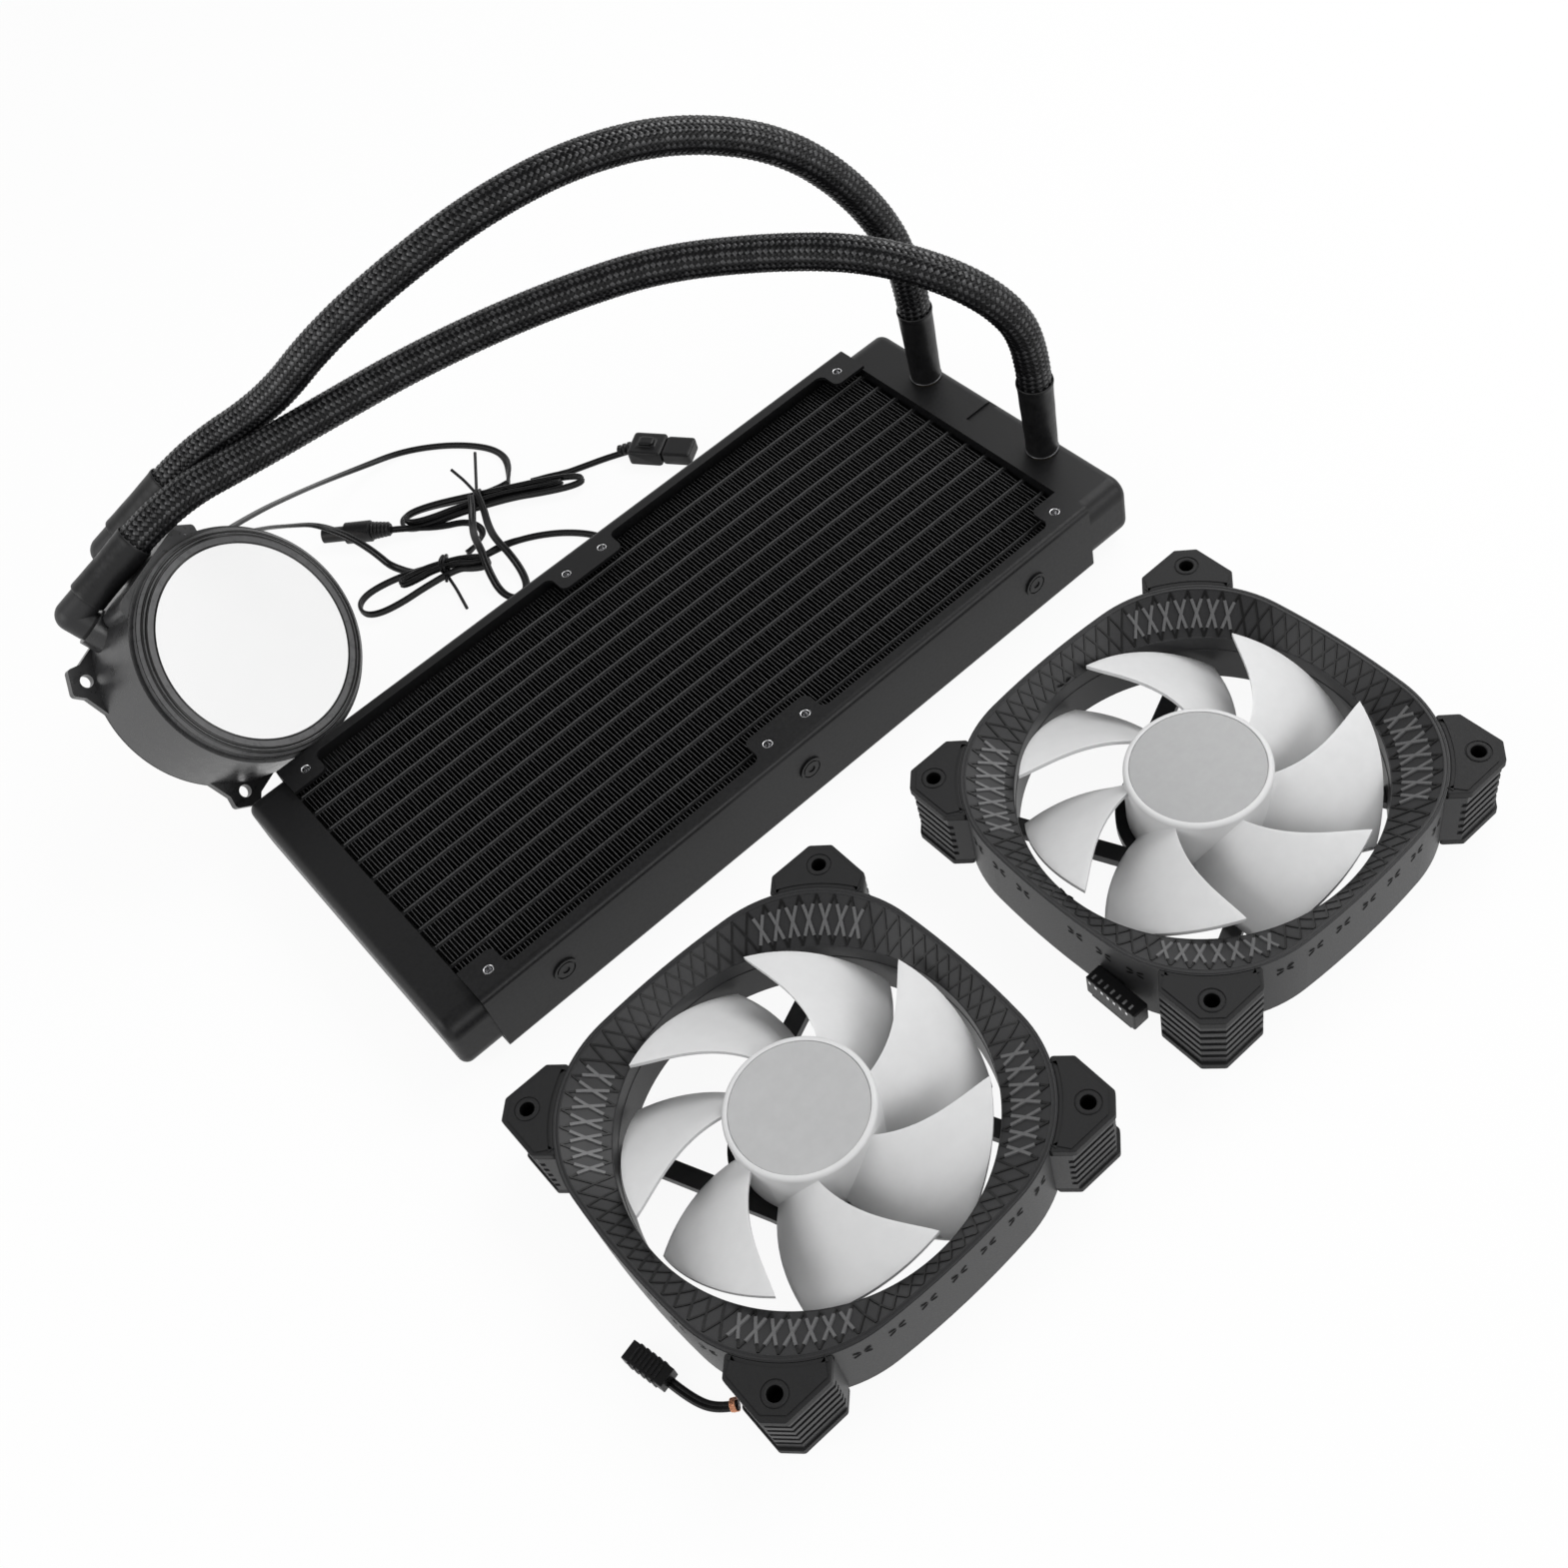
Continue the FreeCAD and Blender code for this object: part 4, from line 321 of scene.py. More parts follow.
class Form:
    """Collects the points, faces and face materials of one mesh."""

    def __init__(self):
        self.points = []
        self.faces = []
        self.kinds = []
        self.count = 0

    def add(self, points, faces, kind=0):
        points = np.asarray(points, float).reshape(-1, 3)
        if isinstance(faces, np.ndarray):
            faces = faces.tolist()
        self.points.append(points)
        self.faces.extend([corner + self.count for corner in face] for face in faces)
        self.kinds.extend([kind] * len(faces))
        self.count += len(points)

    def grid(self, rows, around=True, kind=0):
        """Quads between successive rows of points; around closes each row on itself."""
        rows = np.asarray(rows, float)
        length, width = rows.shape[:2]
        index = np.arange(length * width).reshape(length, width)
        right = np.roll(index, -1, axis=1)
        if not around:
            index, right = index[:, :-1], right[:, :-1]
        quads = np.stack([index[:-1], right[:-1], right[1:], index[1:]], axis=-1).reshape(-1, 4)
        self.add(rows, quads, kind)

    def cap(self, ring, kind=0, flip=False):
        """A fan of triangles over a ring of points."""
        ring = np.asarray(ring, float)
        points = np.vstack([ring, ring.mean(axis=0)])
        last = len(ring)
        faces = [(k, (k + 1) % last, last) for k in range(last)]
        if flip:
            faces = [face[::-1] for face in faces]
        self.add(points, faces, kind)

    def tube(self, line, radius, sides, kind=0, closed=False):
        """A round tube along a line of points, closed on itself or capped at its ends."""
        across, up = frames_along(line)[1:]
        angles = round_angles(sides)
        rows = (line[:, None] + across[:, None] * (np.cos(angles) * radius)[None, :, None]
                + up[:, None] * (np.sin(angles) * radius)[None, :, None])
        if closed:
            rows = np.concatenate([rows, rows[:1]])
        self.grid(rows, True, kind)
        if not closed:
            self.cap(rows[0], kind)
            self.cap(rows[-1], kind, True)

    def lathe(self, profile, place, axis, sides, kind=0):
        """A profile of (radius, height) turned about an axis from a place."""
        axis = unit(np.asarray(axis, float))
        spokes = spokes_round(axis, round_angles(sides))
        rows = [np.asarray(place) + axis * height + spokes * radius for radius, height in profile]
        self.grid(rows, True, kind)

    def wrinkled(self, profile, place, axis, seed):
        """A turned sleeve whose wall is slightly uneven, as shrunk rubber is."""
        shake = np.random.default_rng(seed)
        angles = round_angles(SLEEVE_SIDES)
        spokes = spokes_round(axis, angles)
        # Each wave's turns round the sleeve, radians for each millimetre along it, and start
        waves = [(shake.integers(1, 4), shake.uniform(0.25, 0.7), shake.uniform(0, 6.3))
                 for _ in range(WRINKLE_WAVES)]
        rows = []
        for radius, height in profile:
            bumps = sum(np.sin(turns * angles + pitch * height + start)
                        for turns, pitch, start in waves)
            reach = radius + WRINKLE_DEPTH * bumps / len(waves)
            rows.append(np.asarray(place) + axis * height + reach[:, None] * spokes)
        self.grid(rows)

    def box(self, low, high):
        """A box between two corners."""
        x0, y0, z0 = low
        x1, y1, z1 = high
        points = [(x, y, z) for z in (z0, z1) for y in (y0, y1) for x in (x0, x1)]
        faces = [(0, 2, 3, 1), (4, 5, 7, 6), (0, 1, 5, 4), (2, 6, 7, 3), (0, 4, 6, 2), (1, 3, 7, 5)]
        self.add(points, faces)

    def piece(self, name, materials, smooth=True):
        """The collected mesh as a visible piece of the cooler's body."""
        mesh = bpy.data.meshes.new(name)
        mesh.from_pydata((np.vstack(self.points) * METRES).tolist(), [], self.faces)
        for material in materials:
            mesh.materials.append(material)
        if len(materials) > 1:
            mesh.polygons.foreach_set("material_index", self.kinds)
        mesh.polygons.foreach_set("use_smooth", [smooth] * len(mesh.polygons))
        mesh.update()
        thing = bpy.data.objects.new(name, mesh)
        bpy.context.scene.collection.objects.link(thing)
        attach(thing, COOLER)
        return thing


def unit(vector):
    return vector / np.linalg.norm(vector)


def rows_unit(vectors):
    return vectors / np.linalg.norm(vectors, axis=1)[:, None]


def round_angles(count):
    return np.linspace(0, 2 * math.pi, count, endpoint=False)


def spokes_round(axis, angles):
    """Unit directions at right angles to an axis."""
    side = unit(np.cross(axis, (0.3, 0.5, 0.8) if abs(axis[2]) > 0.5 else UP))
    return np.cos(angles)[:, None] * side + np.sin(angles)[:, None] * np.cross(axis, side)


def level_ways(heading):
    """A level direction, and the one to its left."""
    turn = math.radians(heading)
    ahead = np.array((math.cos(turn), math.sin(turn), 0.0))
    return ahead, np.array((-ahead[1], ahead[0], 0.0))


WELD_REACH = 0.01


def soften(thing, width, segments, angle=35.0):
    """Small rounded edges where a mesh turns by more than an angle."""
    weld = thing.modifiers.new("weld", "WELD")
    weld.merge_threshold = mm(WELD_REACH)
    bevel = thing.modifiers.new("bevel", "BEVEL")
    bevel.width = mm(width)
    bevel.segments = segments
    bevel.limit_method = "ANGLE"
    bevel.angle_limit = math.radians(angle)


def frames_along(line):
    """Tangents of a line, and two cross directions that are carried along it without twist."""
    tangents = rows_unit(np.gradient(line, axis=0))
    side = np.cross(tangents[0], UP)
    if np.linalg.norm(side) < 0.1:
        side = np.cross(tangents[0], (1.0, 0.0, 0.0))
    across = np.empty_like(line)
    for k, tangent in enumerate(tangents):
        side = unit(side - tangent * np.dot(side, tangent))
        across[k] = side
    return tangents, across, np.cross(tangents, across)


def spaced(line, step):
    """The same line with evenly spaced points."""
    gaps = np.linalg.norm(np.diff(line, axis=0), axis=1)
    reach = np.concatenate([[0.0], np.cumsum(gaps)])
    marks = np.linspace(0, reach[-1], max(3, int(reach[-1] / step) + 1))
    return np.stack([np.interp(marks, reach, line[:, axis]) for axis in range(3)], axis=1)


def length_of(line):
    return float(np.linalg.norm(np.diff(line, axis=0), axis=1).sum())


ROUTE_RESOLUTION = 24
ROUTE_ORDER = 3


def route_line(route, step):
    """The NURBS spline through a route's control points, read back as evenly spaced points."""
    data = bpy.data.curves.new("route", "CURVE")
    data.dimensions = "3D"
    data.resolution_u = ROUTE_RESOLUTION
    spline = data.splines.new("NURBS")
    spline.points.add(len(route) - 1)
    for point, place in zip(spline.points, route):
        point.co = (*mm(*place), 1)
    spline.order_u = ROUTE_ORDER
    spline.use_endpoint_u = True
    holder = bpy.data.objects.new("route", data)
    mesh = bpy.data.meshes.new_from_object(holder)
    line = np.array([vertex.co[:] for vertex in mesh.vertices]) * MILLIMETRES
    bpy.data.objects.remove(holder)
    bpy.data.meshes.remove(mesh)
    return spaced(line, step)


# Hoses: a dark inner tube under a plain weave of flat strands

HOSE_FRONT = [
    (-110.30, 115.36, 85.66), (-94.26, 113.88, 92.23), (-67.0, 104.5, 95.8), (-42.3, 95.0, 100.8),
    (-17.0, 84.5, 106.0), (8.0, 73.0, 110.0), (33.0, 60.5, 112.5), (57.5, 46.5, 113.5),
    (83.0, 24.0, 111.5), (98.5, 0.0, 112.0), (112.5, -17.5, 103.0), (124.0, -25.5, 88.5),
    (131.45, -27.9, 71.0), (131.45, -27.9, 53.1)]
HOSE_REAR = [
    (-91.06, 124.32, 89.95), (-79.42, 121.19, 96.03), (-53.6, 109.5, 104.0), (-33.7, 94.4, 124.1),
    (-7.3, 82.2, 137.6), (19.1, 69.2, 148.7), (48.8, 59.9, 151.3), (78.3, 52.4, 144.2),
    (103.3, 39.9, 130.2), (120.9, 32.8, 105.6), (131.45, 27.9, 76.1), (131.45, 27.9, 53.1)]
HOSE_CORE = 4.95
CORE_SIDES = 20
CORE_STEPS = 4
BRAID_STRANDS = 14
BRAID_ROW = 1.92
BRAID_RADIUS = 5.18
BRAID_WAVE = 0.22
BRAID_CROWN = 0.22
BRAID_HALF_WIDTH = 0.6
BRAID_STEP = 0.5
# How high on its wave a strand of the first set has to be to show its painted glint
BRAID_GLINT_LEVEL = 0.35


def braided_hose(name, route):
    """One hose: strands wound both ways, each over and under the next.

    Uppermost strands of the first set show a lighter face, a painted glint, so that the weave
    reads.
    """
    line = route_line(route, BRAID_STEP)
    tangents, across, up = frames_along(line)
    turn = 2 * math.pi / BRAID_ROW * length_of(line) / (len(line) - 1) * np.arange(len(line))
    wave = np.cos(turn)
    form = Form()
    form.tube(line[::CORE_STEPS], HOSE_CORE, CORE_SIDES, 1)
    for way in (1, -1):
        lift = (BRAID_RADIUS + way * BRAID_WAVE * wave)[:, None]
        slant = way * 2 * math.pi / BRAID_STRANDS / BRAID_ROW
        # Painted glint on first-set strands that are high on their wave
        light = np.where((way > 0) & (wave[:-1] > BRAID_GLINT_LEVEL), 2, 0)
        for strand in range(BRAID_STRANDS):
            angle = ((2 * math.pi * strand + way * turn) / BRAID_STRANDS)[:, None]
            radial = np.cos(angle) * across + np.sin(angle) * up
            around = -np.sin(angle) * across + np.cos(angle) * up
            run = rows_unit(tangents + around * lift * slant)
            wide = np.cross(radial, run) * BRAID_HALF_WIDTH
            middle = line + radial * lift
            rows = [middle - wide, middle + radial * BRAID_CROWN, middle + wide]
            form.grid(np.stack(rows, axis=1), False)
            # Each step of a strand is two faces wide
            form.kinds[-2 * len(light):] = np.repeat(light, 2).tolist()
    hose = form.piece(name + "_braid", [BRAID, BRAID_GAP, BRAID_PAINTED_GLINT])
    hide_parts(name)


braided_hose("hose_front", HOSE_FRONT)
braided_hose("hose_rear", HOSE_REAR)


# Leads: flat twin-core cable

CORE_RADIUS = 0.72
CORE_OFFSET = 0.68
LEAD_STEP = 0.8
LEAD_DROP = 0.6
TWIST_LENGTH = 14.0
# Round each core, from where it leaves the groove between the two to where it comes back
LEAD_SECTION = np.array([
    (sign * CORE_OFFSET + CORE_RADIUS * math.cos(math.radians(angle)),
     CORE_RADIUS * math.sin(math.radians(angle)))
    for sign, first in ((1, -150), (-1, 30)) for angle in range(first, first + 301, 50)])


def flat_lead(name, route, node, edges=(0.0, 0.0), drop=LEAD_DROP, whole=0.0):
    """A twin-core cable: flat where it lies, and on edge by the shares edges at its two ends.

    The route runs along the middle of the CAD lead. Drop lays the flat cable down to the floor,
    and whole is the least share that it stands on edge anywhere.
    """
    line = route_line(route, LEAD_STEP) - UP * drop
    tangents = rows_unit(np.gradient(line, axis=0))
    level = rows_unit(np.cross(UP, tangents))
    rise = np.cross(tangents, level)
    reach = np.linspace(0, length_of(line), len(line))
    start = np.clip(1 - reach / TWIST_LENGTH, 0, 1) * edges[0]
    end = np.clip(1 - (reach[-1] - reach) / TWIST_LENGTH, 0, 1) * edges[1]
    edge = np.maximum(np.maximum(start, end), whole)[:, None]
    line = line + UP * edge * drop
    turn = edge * math.pi / 2
    wide = np.cos(turn) * level + np.sin(turn) * rise
    thick = -np.sin(turn) * level + np.cos(turn) * rise
    rows = (line[:, None] + wide[:, None] * LEAD_SECTION[:, :1]
            + thick[:, None] * LEAD_SECTION[:, 1:])
    form = Form()
    form.grid(rows)
    form.cap(rows[0])
    form.cap(rows[-1], 0, True)
    lead = form.piece(name, [CABLE_SHEATH])
    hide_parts(node)
    return lead, line


LEAD_FRONT = [
    (-83.2, 119.3, 66.7), (-70.0, 134.0, 54.0), (-52.0, 155.0, 34.0), (-36.0, 172.0, 17.0),
    (-20.0, 181.0, 5.5), (-5.0, 180.5, 1.5), (7.0, 171.0, 1.5), (16.0, 160.0, 1.5),
    (21.0, 149.0, 1.5), (19.5, 139.0, 1.5), (12.8, 130.6, 1.5)]
LEAD_REAR = [
    (-81.0, 121.4, 61.2), (-71.0, 137.5, 44.5), (-60.5, 150.5, 28.0), (-51.0, 155.5, 17.5),
    (-44.5, 149.0, 11.0), (-41.0, 138.5, 6.5), (-39.5, 128.5, 2.0), (-34.5, 120.5, 1.5)]
LEAD_BARREL = [
    (-30.0, 145.0, 4.1), (-24.9, 140.2, 4.1), (-16.5, 134.0, 1.6), (-7.5, 128.0, 1.5),
    (-6.0, 119.5, 1.5), (-11.0, 115.0, 1.5), (-17.2, 114.2, 1.5)]
LEAD_LOOP = [
    (0.8, 131.0, 7.2), (-1.2, 124.6, 5.6), (-4.6, 117.5, 5.0), (-7.2, 108.9, 5.4),
    (-7.6, 99.0, 4.6), (-8.9, 90.0, 2.0), (-12.0, 82.9, 1.5), (-17.6, 81.8, 1.5),
    (-19.8, 88.6, 1.9), (-17.6, 98.0, 5.0), (-14.4, 105.7, 7.2), (-12.5, 113.2, 7.0),
    (-9.1, 120.6, 5.4), (-3.7, 127.7, 6.6), (-1.4, 131.4, 7.2)]
TAIL_FRONT = [
    (19.5, 124.6, 1.5), (28.0, 119.4, 1.5), (37.5, 115.3, 1.5), (46.5, 111.5, 1.5),
    (52.5, 106.8, 2.6)]
TAIL_REAR = [
    (-14.0, 108.0, 1.5), (-6.5, 107.4, 1.5), (1.0, 104.0, 1.5), (8.5, 98.5, 1.5), (15.0, 91.5, 1.5),
    (20.0, 83.0, 1.5), (21.5, 74.5, 2.6)]
FAN_LEFT_LEAD = [
    (-136.8, -187.3, 2.6), (-141.0, -184.5, 1.8), (-144.6, -178.0, 1.6), (-146.0, -170.5, 2.0)]


# Hanks: turns of the same cable on edge, tied at a waist

# One loop of a hank, in shares of its reach and half width
LOBE_SHAPE = ((0.3, 0.75), (0.6, 1.0), (0.86, 0.95), (1.0, 0.45), (1.0, -0.45), (0.86, -0.95),
              (0.6, -1.0), (0.3, -0.7))


def lobe(waist, heading, reach, half_width, entry, low, high):
    """Points of one loop of a hank: out from the waist on one side and back on the other."""
    ahead, beside = level_ways(heading)
    points = []
    for k, (out, wide) in enumerate(LOBE_SHAPE):
        spot = np.array((*waist, 0)) + ahead * reach * out + beside * half_width * wide * entry
        points.append((spot[0], spot[1], low + (high - low) * k / (len(LOBE_SHAPE) - 1)))
    return points


FRONT_WAIST = (0.8, 131.6)
REAR_WAIST = (-26.0, 114.6)
FRONT_HANK = (
    [(12.8, 130.6, 2.2), (7.0, 131.6, 2.0)]
    + lobe(FRONT_WAIST, 152, 29.5, 4.8, -1, 2.0, 2.4)
    + lobe(FRONT_WAIST, -37, 39.0, 2.6, -1, 2.6, 4.0)
    + lobe(FRONT_WAIST, 153, 27.6, 3.2, -1, 4.2, 4.2)
    + lobe(FRONT_WAIST, -35, 31.0, 1.4, -1, 4.2, 2.0)
    + [(8.0, 126.6, 1.9), (14.0, 124.6, 1.9), (19.5, 122.6, 1.9)])
REAR_HANK = (
    [(-34.5, 120.5, 1.9), (-30.0, 117.6, 2.0)]
    + lobe(REAR_WAIST, -44, 16.0, 2.4, 1, 2.0, 2.2)
    + lobe(REAR_WAIST, 168, 33.5, 6.2, 1, 2.2, 2.6)
    + lobe(REAR_WAIST, -43, 15.0, 1.6, 1, 3.0, 4.2)
    + lobe(REAR_WAIST, 167, 17.0, 1.6, 1, 4.2, 4.2)
    + lobe(REAR_WAIST, -42, 14.0, 0.9, 1, 4.2, 3.6)[:4])


def cables():
    """Every lead and hank, with the strain relief at the joint and the ties round the hanks."""
    joint_relief = strain_relief()
    front_hank, front_turns = flat_lead("front_hank", FRONT_HANK, "bundle_front", drop=0.0,
                                        whole=1.0)
    rear_hank, rear_turns = flat_lead("rear_hank", REAR_HANK, "bundle_rear", drop=0.0, whole=1.0)
    ties = twist_ties()
    rows = [
        ("lead_front_cable", LEAD_FRONT, "lead_front", (0, 1), "object", []),
        ("lead_rear_cable", LEAD_REAR, "lead_rear", (0, 1), "object", []),
        ("barrel_cable", LEAD_BARREL, "lead_barrel", (0, 1), "object", [NODES["barrel_plug"]]),
        ("loop_cable", LEAD_LOOP, "lead_loop", (0.4, 0.4), "object", []),
        ("tail_front_cable", TAIL_FRONT, "tail_front", (1, 0), "connector",
         [NODES["lead_joint"], joint_relief]),
        ("tail_rear_cable", TAIL_REAR, "tail_rear", (1, 0), "plug", [NODES["power_plug"]])]
    for name, route, node, edges, far_end, extras in rows:
        lead, line = flat_lead(name, route, node, edges)
    flat_lead("fan_left_cable", FAN_LEFT_LEAD, "fan_left_lead")


RELIEF_PLACE = (54.3, 105.6, 3.1)
RELIEF_WAY = (-0.72, 0.68, -0.1)
RELIEF_RADIUS = 2.4
RELIEF_LENGTH = 6.6
RELIEF_RIBS = 3
RELIEF_TIP = 0.9
RELIEF_WAIST = 0.72
RELIEF_SIDES = 24


def strain_relief():
    """A short ribbed sleeve where the front bundle's tail enters the in-line joint."""
    profile = [(RELIEF_TIP, RELIEF_LENGTH), (RELIEF_RADIUS * 0.62, RELIEF_LENGTH - 0.3)]
    for k in range(RELIEF_RIBS):
        top = RELIEF_LENGTH - 0.6 - k * (RELIEF_LENGTH - 0.8) / RELIEF_RIBS
        wide = RELIEF_RADIUS * (0.8 + 0.2 * k / (RELIEF_RIBS - 1))
        waist = wide * RELIEF_WAIST
        profile += [(wide, top), (wide, top - 1.0), (waist, top - 1.2), (waist, top - 1.5)]
    profile.append((RELIEF_RADIUS * 0.9, 0.0))
    form = Form()
    form.lathe(profile, RELIEF_PLACE, RELIEF_WAY, RELIEF_SIDES)
    return form.piece("joint_relief", [PLUG_PLASTIC])


TIE_RADIUS = 0.6
TIE_SIDES = 8
TIE_HEIGHT = 3.1
TIE_RISE = 2.6
TIE_SWAY = 0.5
TIE_SHIFTS = (-0.9, 0.4)
TIE_STEPS = 24
TIE_BOW = 0.8
KNOT_TURNS = 4
KNOT_HALF = 0.9
# Waist, heading, half width, the knot's share of it to the side and its rise, the wire's two ends
TIES = (
    (FRONT_WAIST, -33.0, 3.6, 0, 2.7, ((12.0, 148.0, 7.5), (0.3, 145.6, 9.5))),
    (REAR_WAIST, -36.0, 3.4, -1, -1.4, ((-32.0, 92.8, 1.0), (-30.5, 106.4, 4.0))))


def twist_ties():
    """A wire tie round each hank's waist, with its twisted ends."""
    form = Form()
    angles = round_angles(TIE_STEPS)
    for waist, heading, half, aside, rise, ends in TIES:
        ahead, beside = level_ways(heading)
        middle = np.array((*waist, TIE_HEIGHT))
        for shift in TIE_SHIFTS:
            ring = (middle + ahead * shift + np.outer(np.cos(angles), beside) * half
                    + np.outer(np.sin(angles), UP) * TIE_RISE
                    + np.outer(np.sin(angles * 2), ahead) * TIE_SWAY)
            form.tube(ring, TIE_RADIUS, TIE_SIDES, closed=True)
        knot = middle + beside * half * aside + UP * rise
        for end in np.array(ends):
            bow = (knot + end) / 2 + beside * TIE_BOW
            wire = [knot, (knot + bow) / 2, bow, (bow + end) / 2, end]
            form.tube(route_line(wire, 1.0), TIE_RADIUS, TIE_SIDES)
        for k in range(KNOT_TURNS):
            spot = knot + ahead * (0.5 if k % 2 else -0.5) + UP * (0.25 * k - 0.3)
            wire = np.array([spot - beside * KNOT_HALF, spot + UP * 0.3, spot + beside * KNOT_HALF])
            form.tube(wire, TIE_RADIUS, TIE_SIDES)
    ties = form.piece("twist_ties", [CABLE_SHEATH])
    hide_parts("bundle_ties")
    return ties


cables()


# Plugs: softened edges, rings, teeth, wires, pins and a spring

PLUG_EDGES = (("lead_joint", 1.4), ("power_plug", 1.2), ("fan_left_plug", 0.5),
              ("fan_right_plug", 0.5))
PLUG_EDGE_SEGMENTS = 3
BARREL_PLACE = (-30.0, 145.0, 4.1)
BARREL_TURN = 136.74
BARREL_RINGS = 5
BARREL_START = 1.0
BARREL_PITCH = 1.4
BARREL_RADIUS = 2.35
BARREL_GROWTH = 0.16
BARREL_SIDES = 24
RING_HEIGHT = 0.25
RING_DEPTH = 0.6
LEFT_PLUG_PLACE = (-146.0, -170.4)
LEFT_PLUG_TURN = 102.18
LEFT_PLUG_TEETH = 7
TEETH_START = 3.0
TEETH_PITCH = 1.35
TEETH_HALF = 1.9
TEETH_RADIUS = 0.34
RIGHT_PLUG_WAYS = 7
WIRE_START = -183.6
WIRE_PITCH = 2.15
WIRE_RADIUS = 0.42
WIRE_REACH = 8.25
WIRE_SPREAD = 2.9
WIRE_SWING = 0.45
PIN_START = -184.2
PIN_PITCH = 2.25
SPRING_ENDS = np.array(((-138.2, -186.3, 2.3), (-136.9, -187.2, 2.6)))
SPRING_TURNS = 5
SPRING_RADIUS = 1.75
SPRING_WIRE = 0.14
SPRING_STEPS = 90


def plug_ribs():
    """Rings on the barrel plug's relief, teeth on the left fan's plug and wires at the right's."""
    form = Form()
    way = level_ways(BARREL_TURN)[0]
    for k in range(BARREL_RINGS):
        radius = BARREL_RADIUS + BARREL_GROWTH * k
        inner, outer = radius - RING_DEPTH, radius + RING_HEIGHT
        middle = np.array(BARREL_PLACE) + way * (BARREL_START + BARREL_PITCH * k)
        form.lathe([(inner, -0.5), (outer, -0.35), (outer, 0.35), (inner, 0.5)], middle, way,
                   BARREL_SIDES)
    ahead, beside = level_ways(LEFT_PLUG_TURN)
    top = max(vertex.co.z for vertex in NODES["fan_left_plug"].data.vertices) * MILLIMETRES
    for k in range(LEFT_PLUG_TEETH):
        middle = np.array((*LEFT_PLUG_PLACE, top)) + ahead * (TEETH_START + TEETH_PITCH * k)
        tooth = np.array([middle - beside * TEETH_HALF, middle, middle + beside * TEETH_HALF])
        form.tube(tooth, TEETH_RADIUS, 8)
    for k in range(RIGHT_PLUG_WAYS):
        y = WIRE_START + WIRE_PITCH * k
        x = WIRE_REACH + WIRE_SPREAD * math.sin(k * WIRE_SWING)
        wire = [(8.0, y, 3.6), (x, y, 2.6), (x + 0.4, y, 1.6), (7.6, y + 0.3, 0.9)]
        form.tube(route_line(wire, 0.6), WIRE_RADIUS, 8)
    form.piece("plug_ribs", [PLUG_PLASTIC])


def plug_pins():
    """Contacts in the right fan's plug: one upright and one lying in each way."""
    form = Form()
    for k in range(RIGHT_PLUG_WAYS):
        y = PIN_START + PIN_PITCH * k
        form.box((5.35, y, 9.2), (5.65, y + 0.8, 10.4))
        form.box((6.4, y, 10.9), (8.0, y + 0.7, 11.06))
    form.piece("plug_pins", [STEEL], False)


def lead_spring():
    """A copper coil where the left fan's lead leaves the frame."""
    start, end = SPRING_ENDS
    run = unit(end - start)
    side = unit(np.cross(run, UP))
    turns = np.linspace(0, 2 * math.pi * SPRING_TURNS, SPRING_STEPS)
    coil = (start + np.outer(turns / turns[-1], end - start)
            + np.outer(np.cos(turns), side) * SPRING_RADIUS
            + np.outer(np.sin(turns), np.cross(side, run)) * SPRING_RADIUS)
    form = Form()
    form.tube(coil, SPRING_WIRE, 6)
    form.piece("lead_spring", [COPPER])


for plug, width in PLUG_EDGES:
    soften(NODES[plug], width, PLUG_EDGE_SEGMENTS)
plug_ribs()
plug_pins()
lead_spring()


# Radiator: fins, tubes' edges and inserts in the screw holes

CORE_LOW = 5.25
CORE_HIGH = 21.75
TUBE_PITCH = 8.8
TUBE_COUNT = 12
TUBE_THICKNESS = 1.8
# Thin lines of painted highlight along the tubes' edges
TUBE_HIGHLIGHT_RADIUS = 0.3
TUBE_HIGHLIGHT_STEPS = 60
TUBE_HIGHLIGHT_SHAKE = 0.03
FIN_PITCH = 1.25
FIN_SHEET = 0.2
FIN_REACH = 119.0
FIN_SEED = 4
FIN_LEAN = 0.06
FIN_SHAKE = 0.05
FIN_TOP_SHAKE = 0.06
FIN_BELOW = 0.15
FIN_FOOT = 0.2


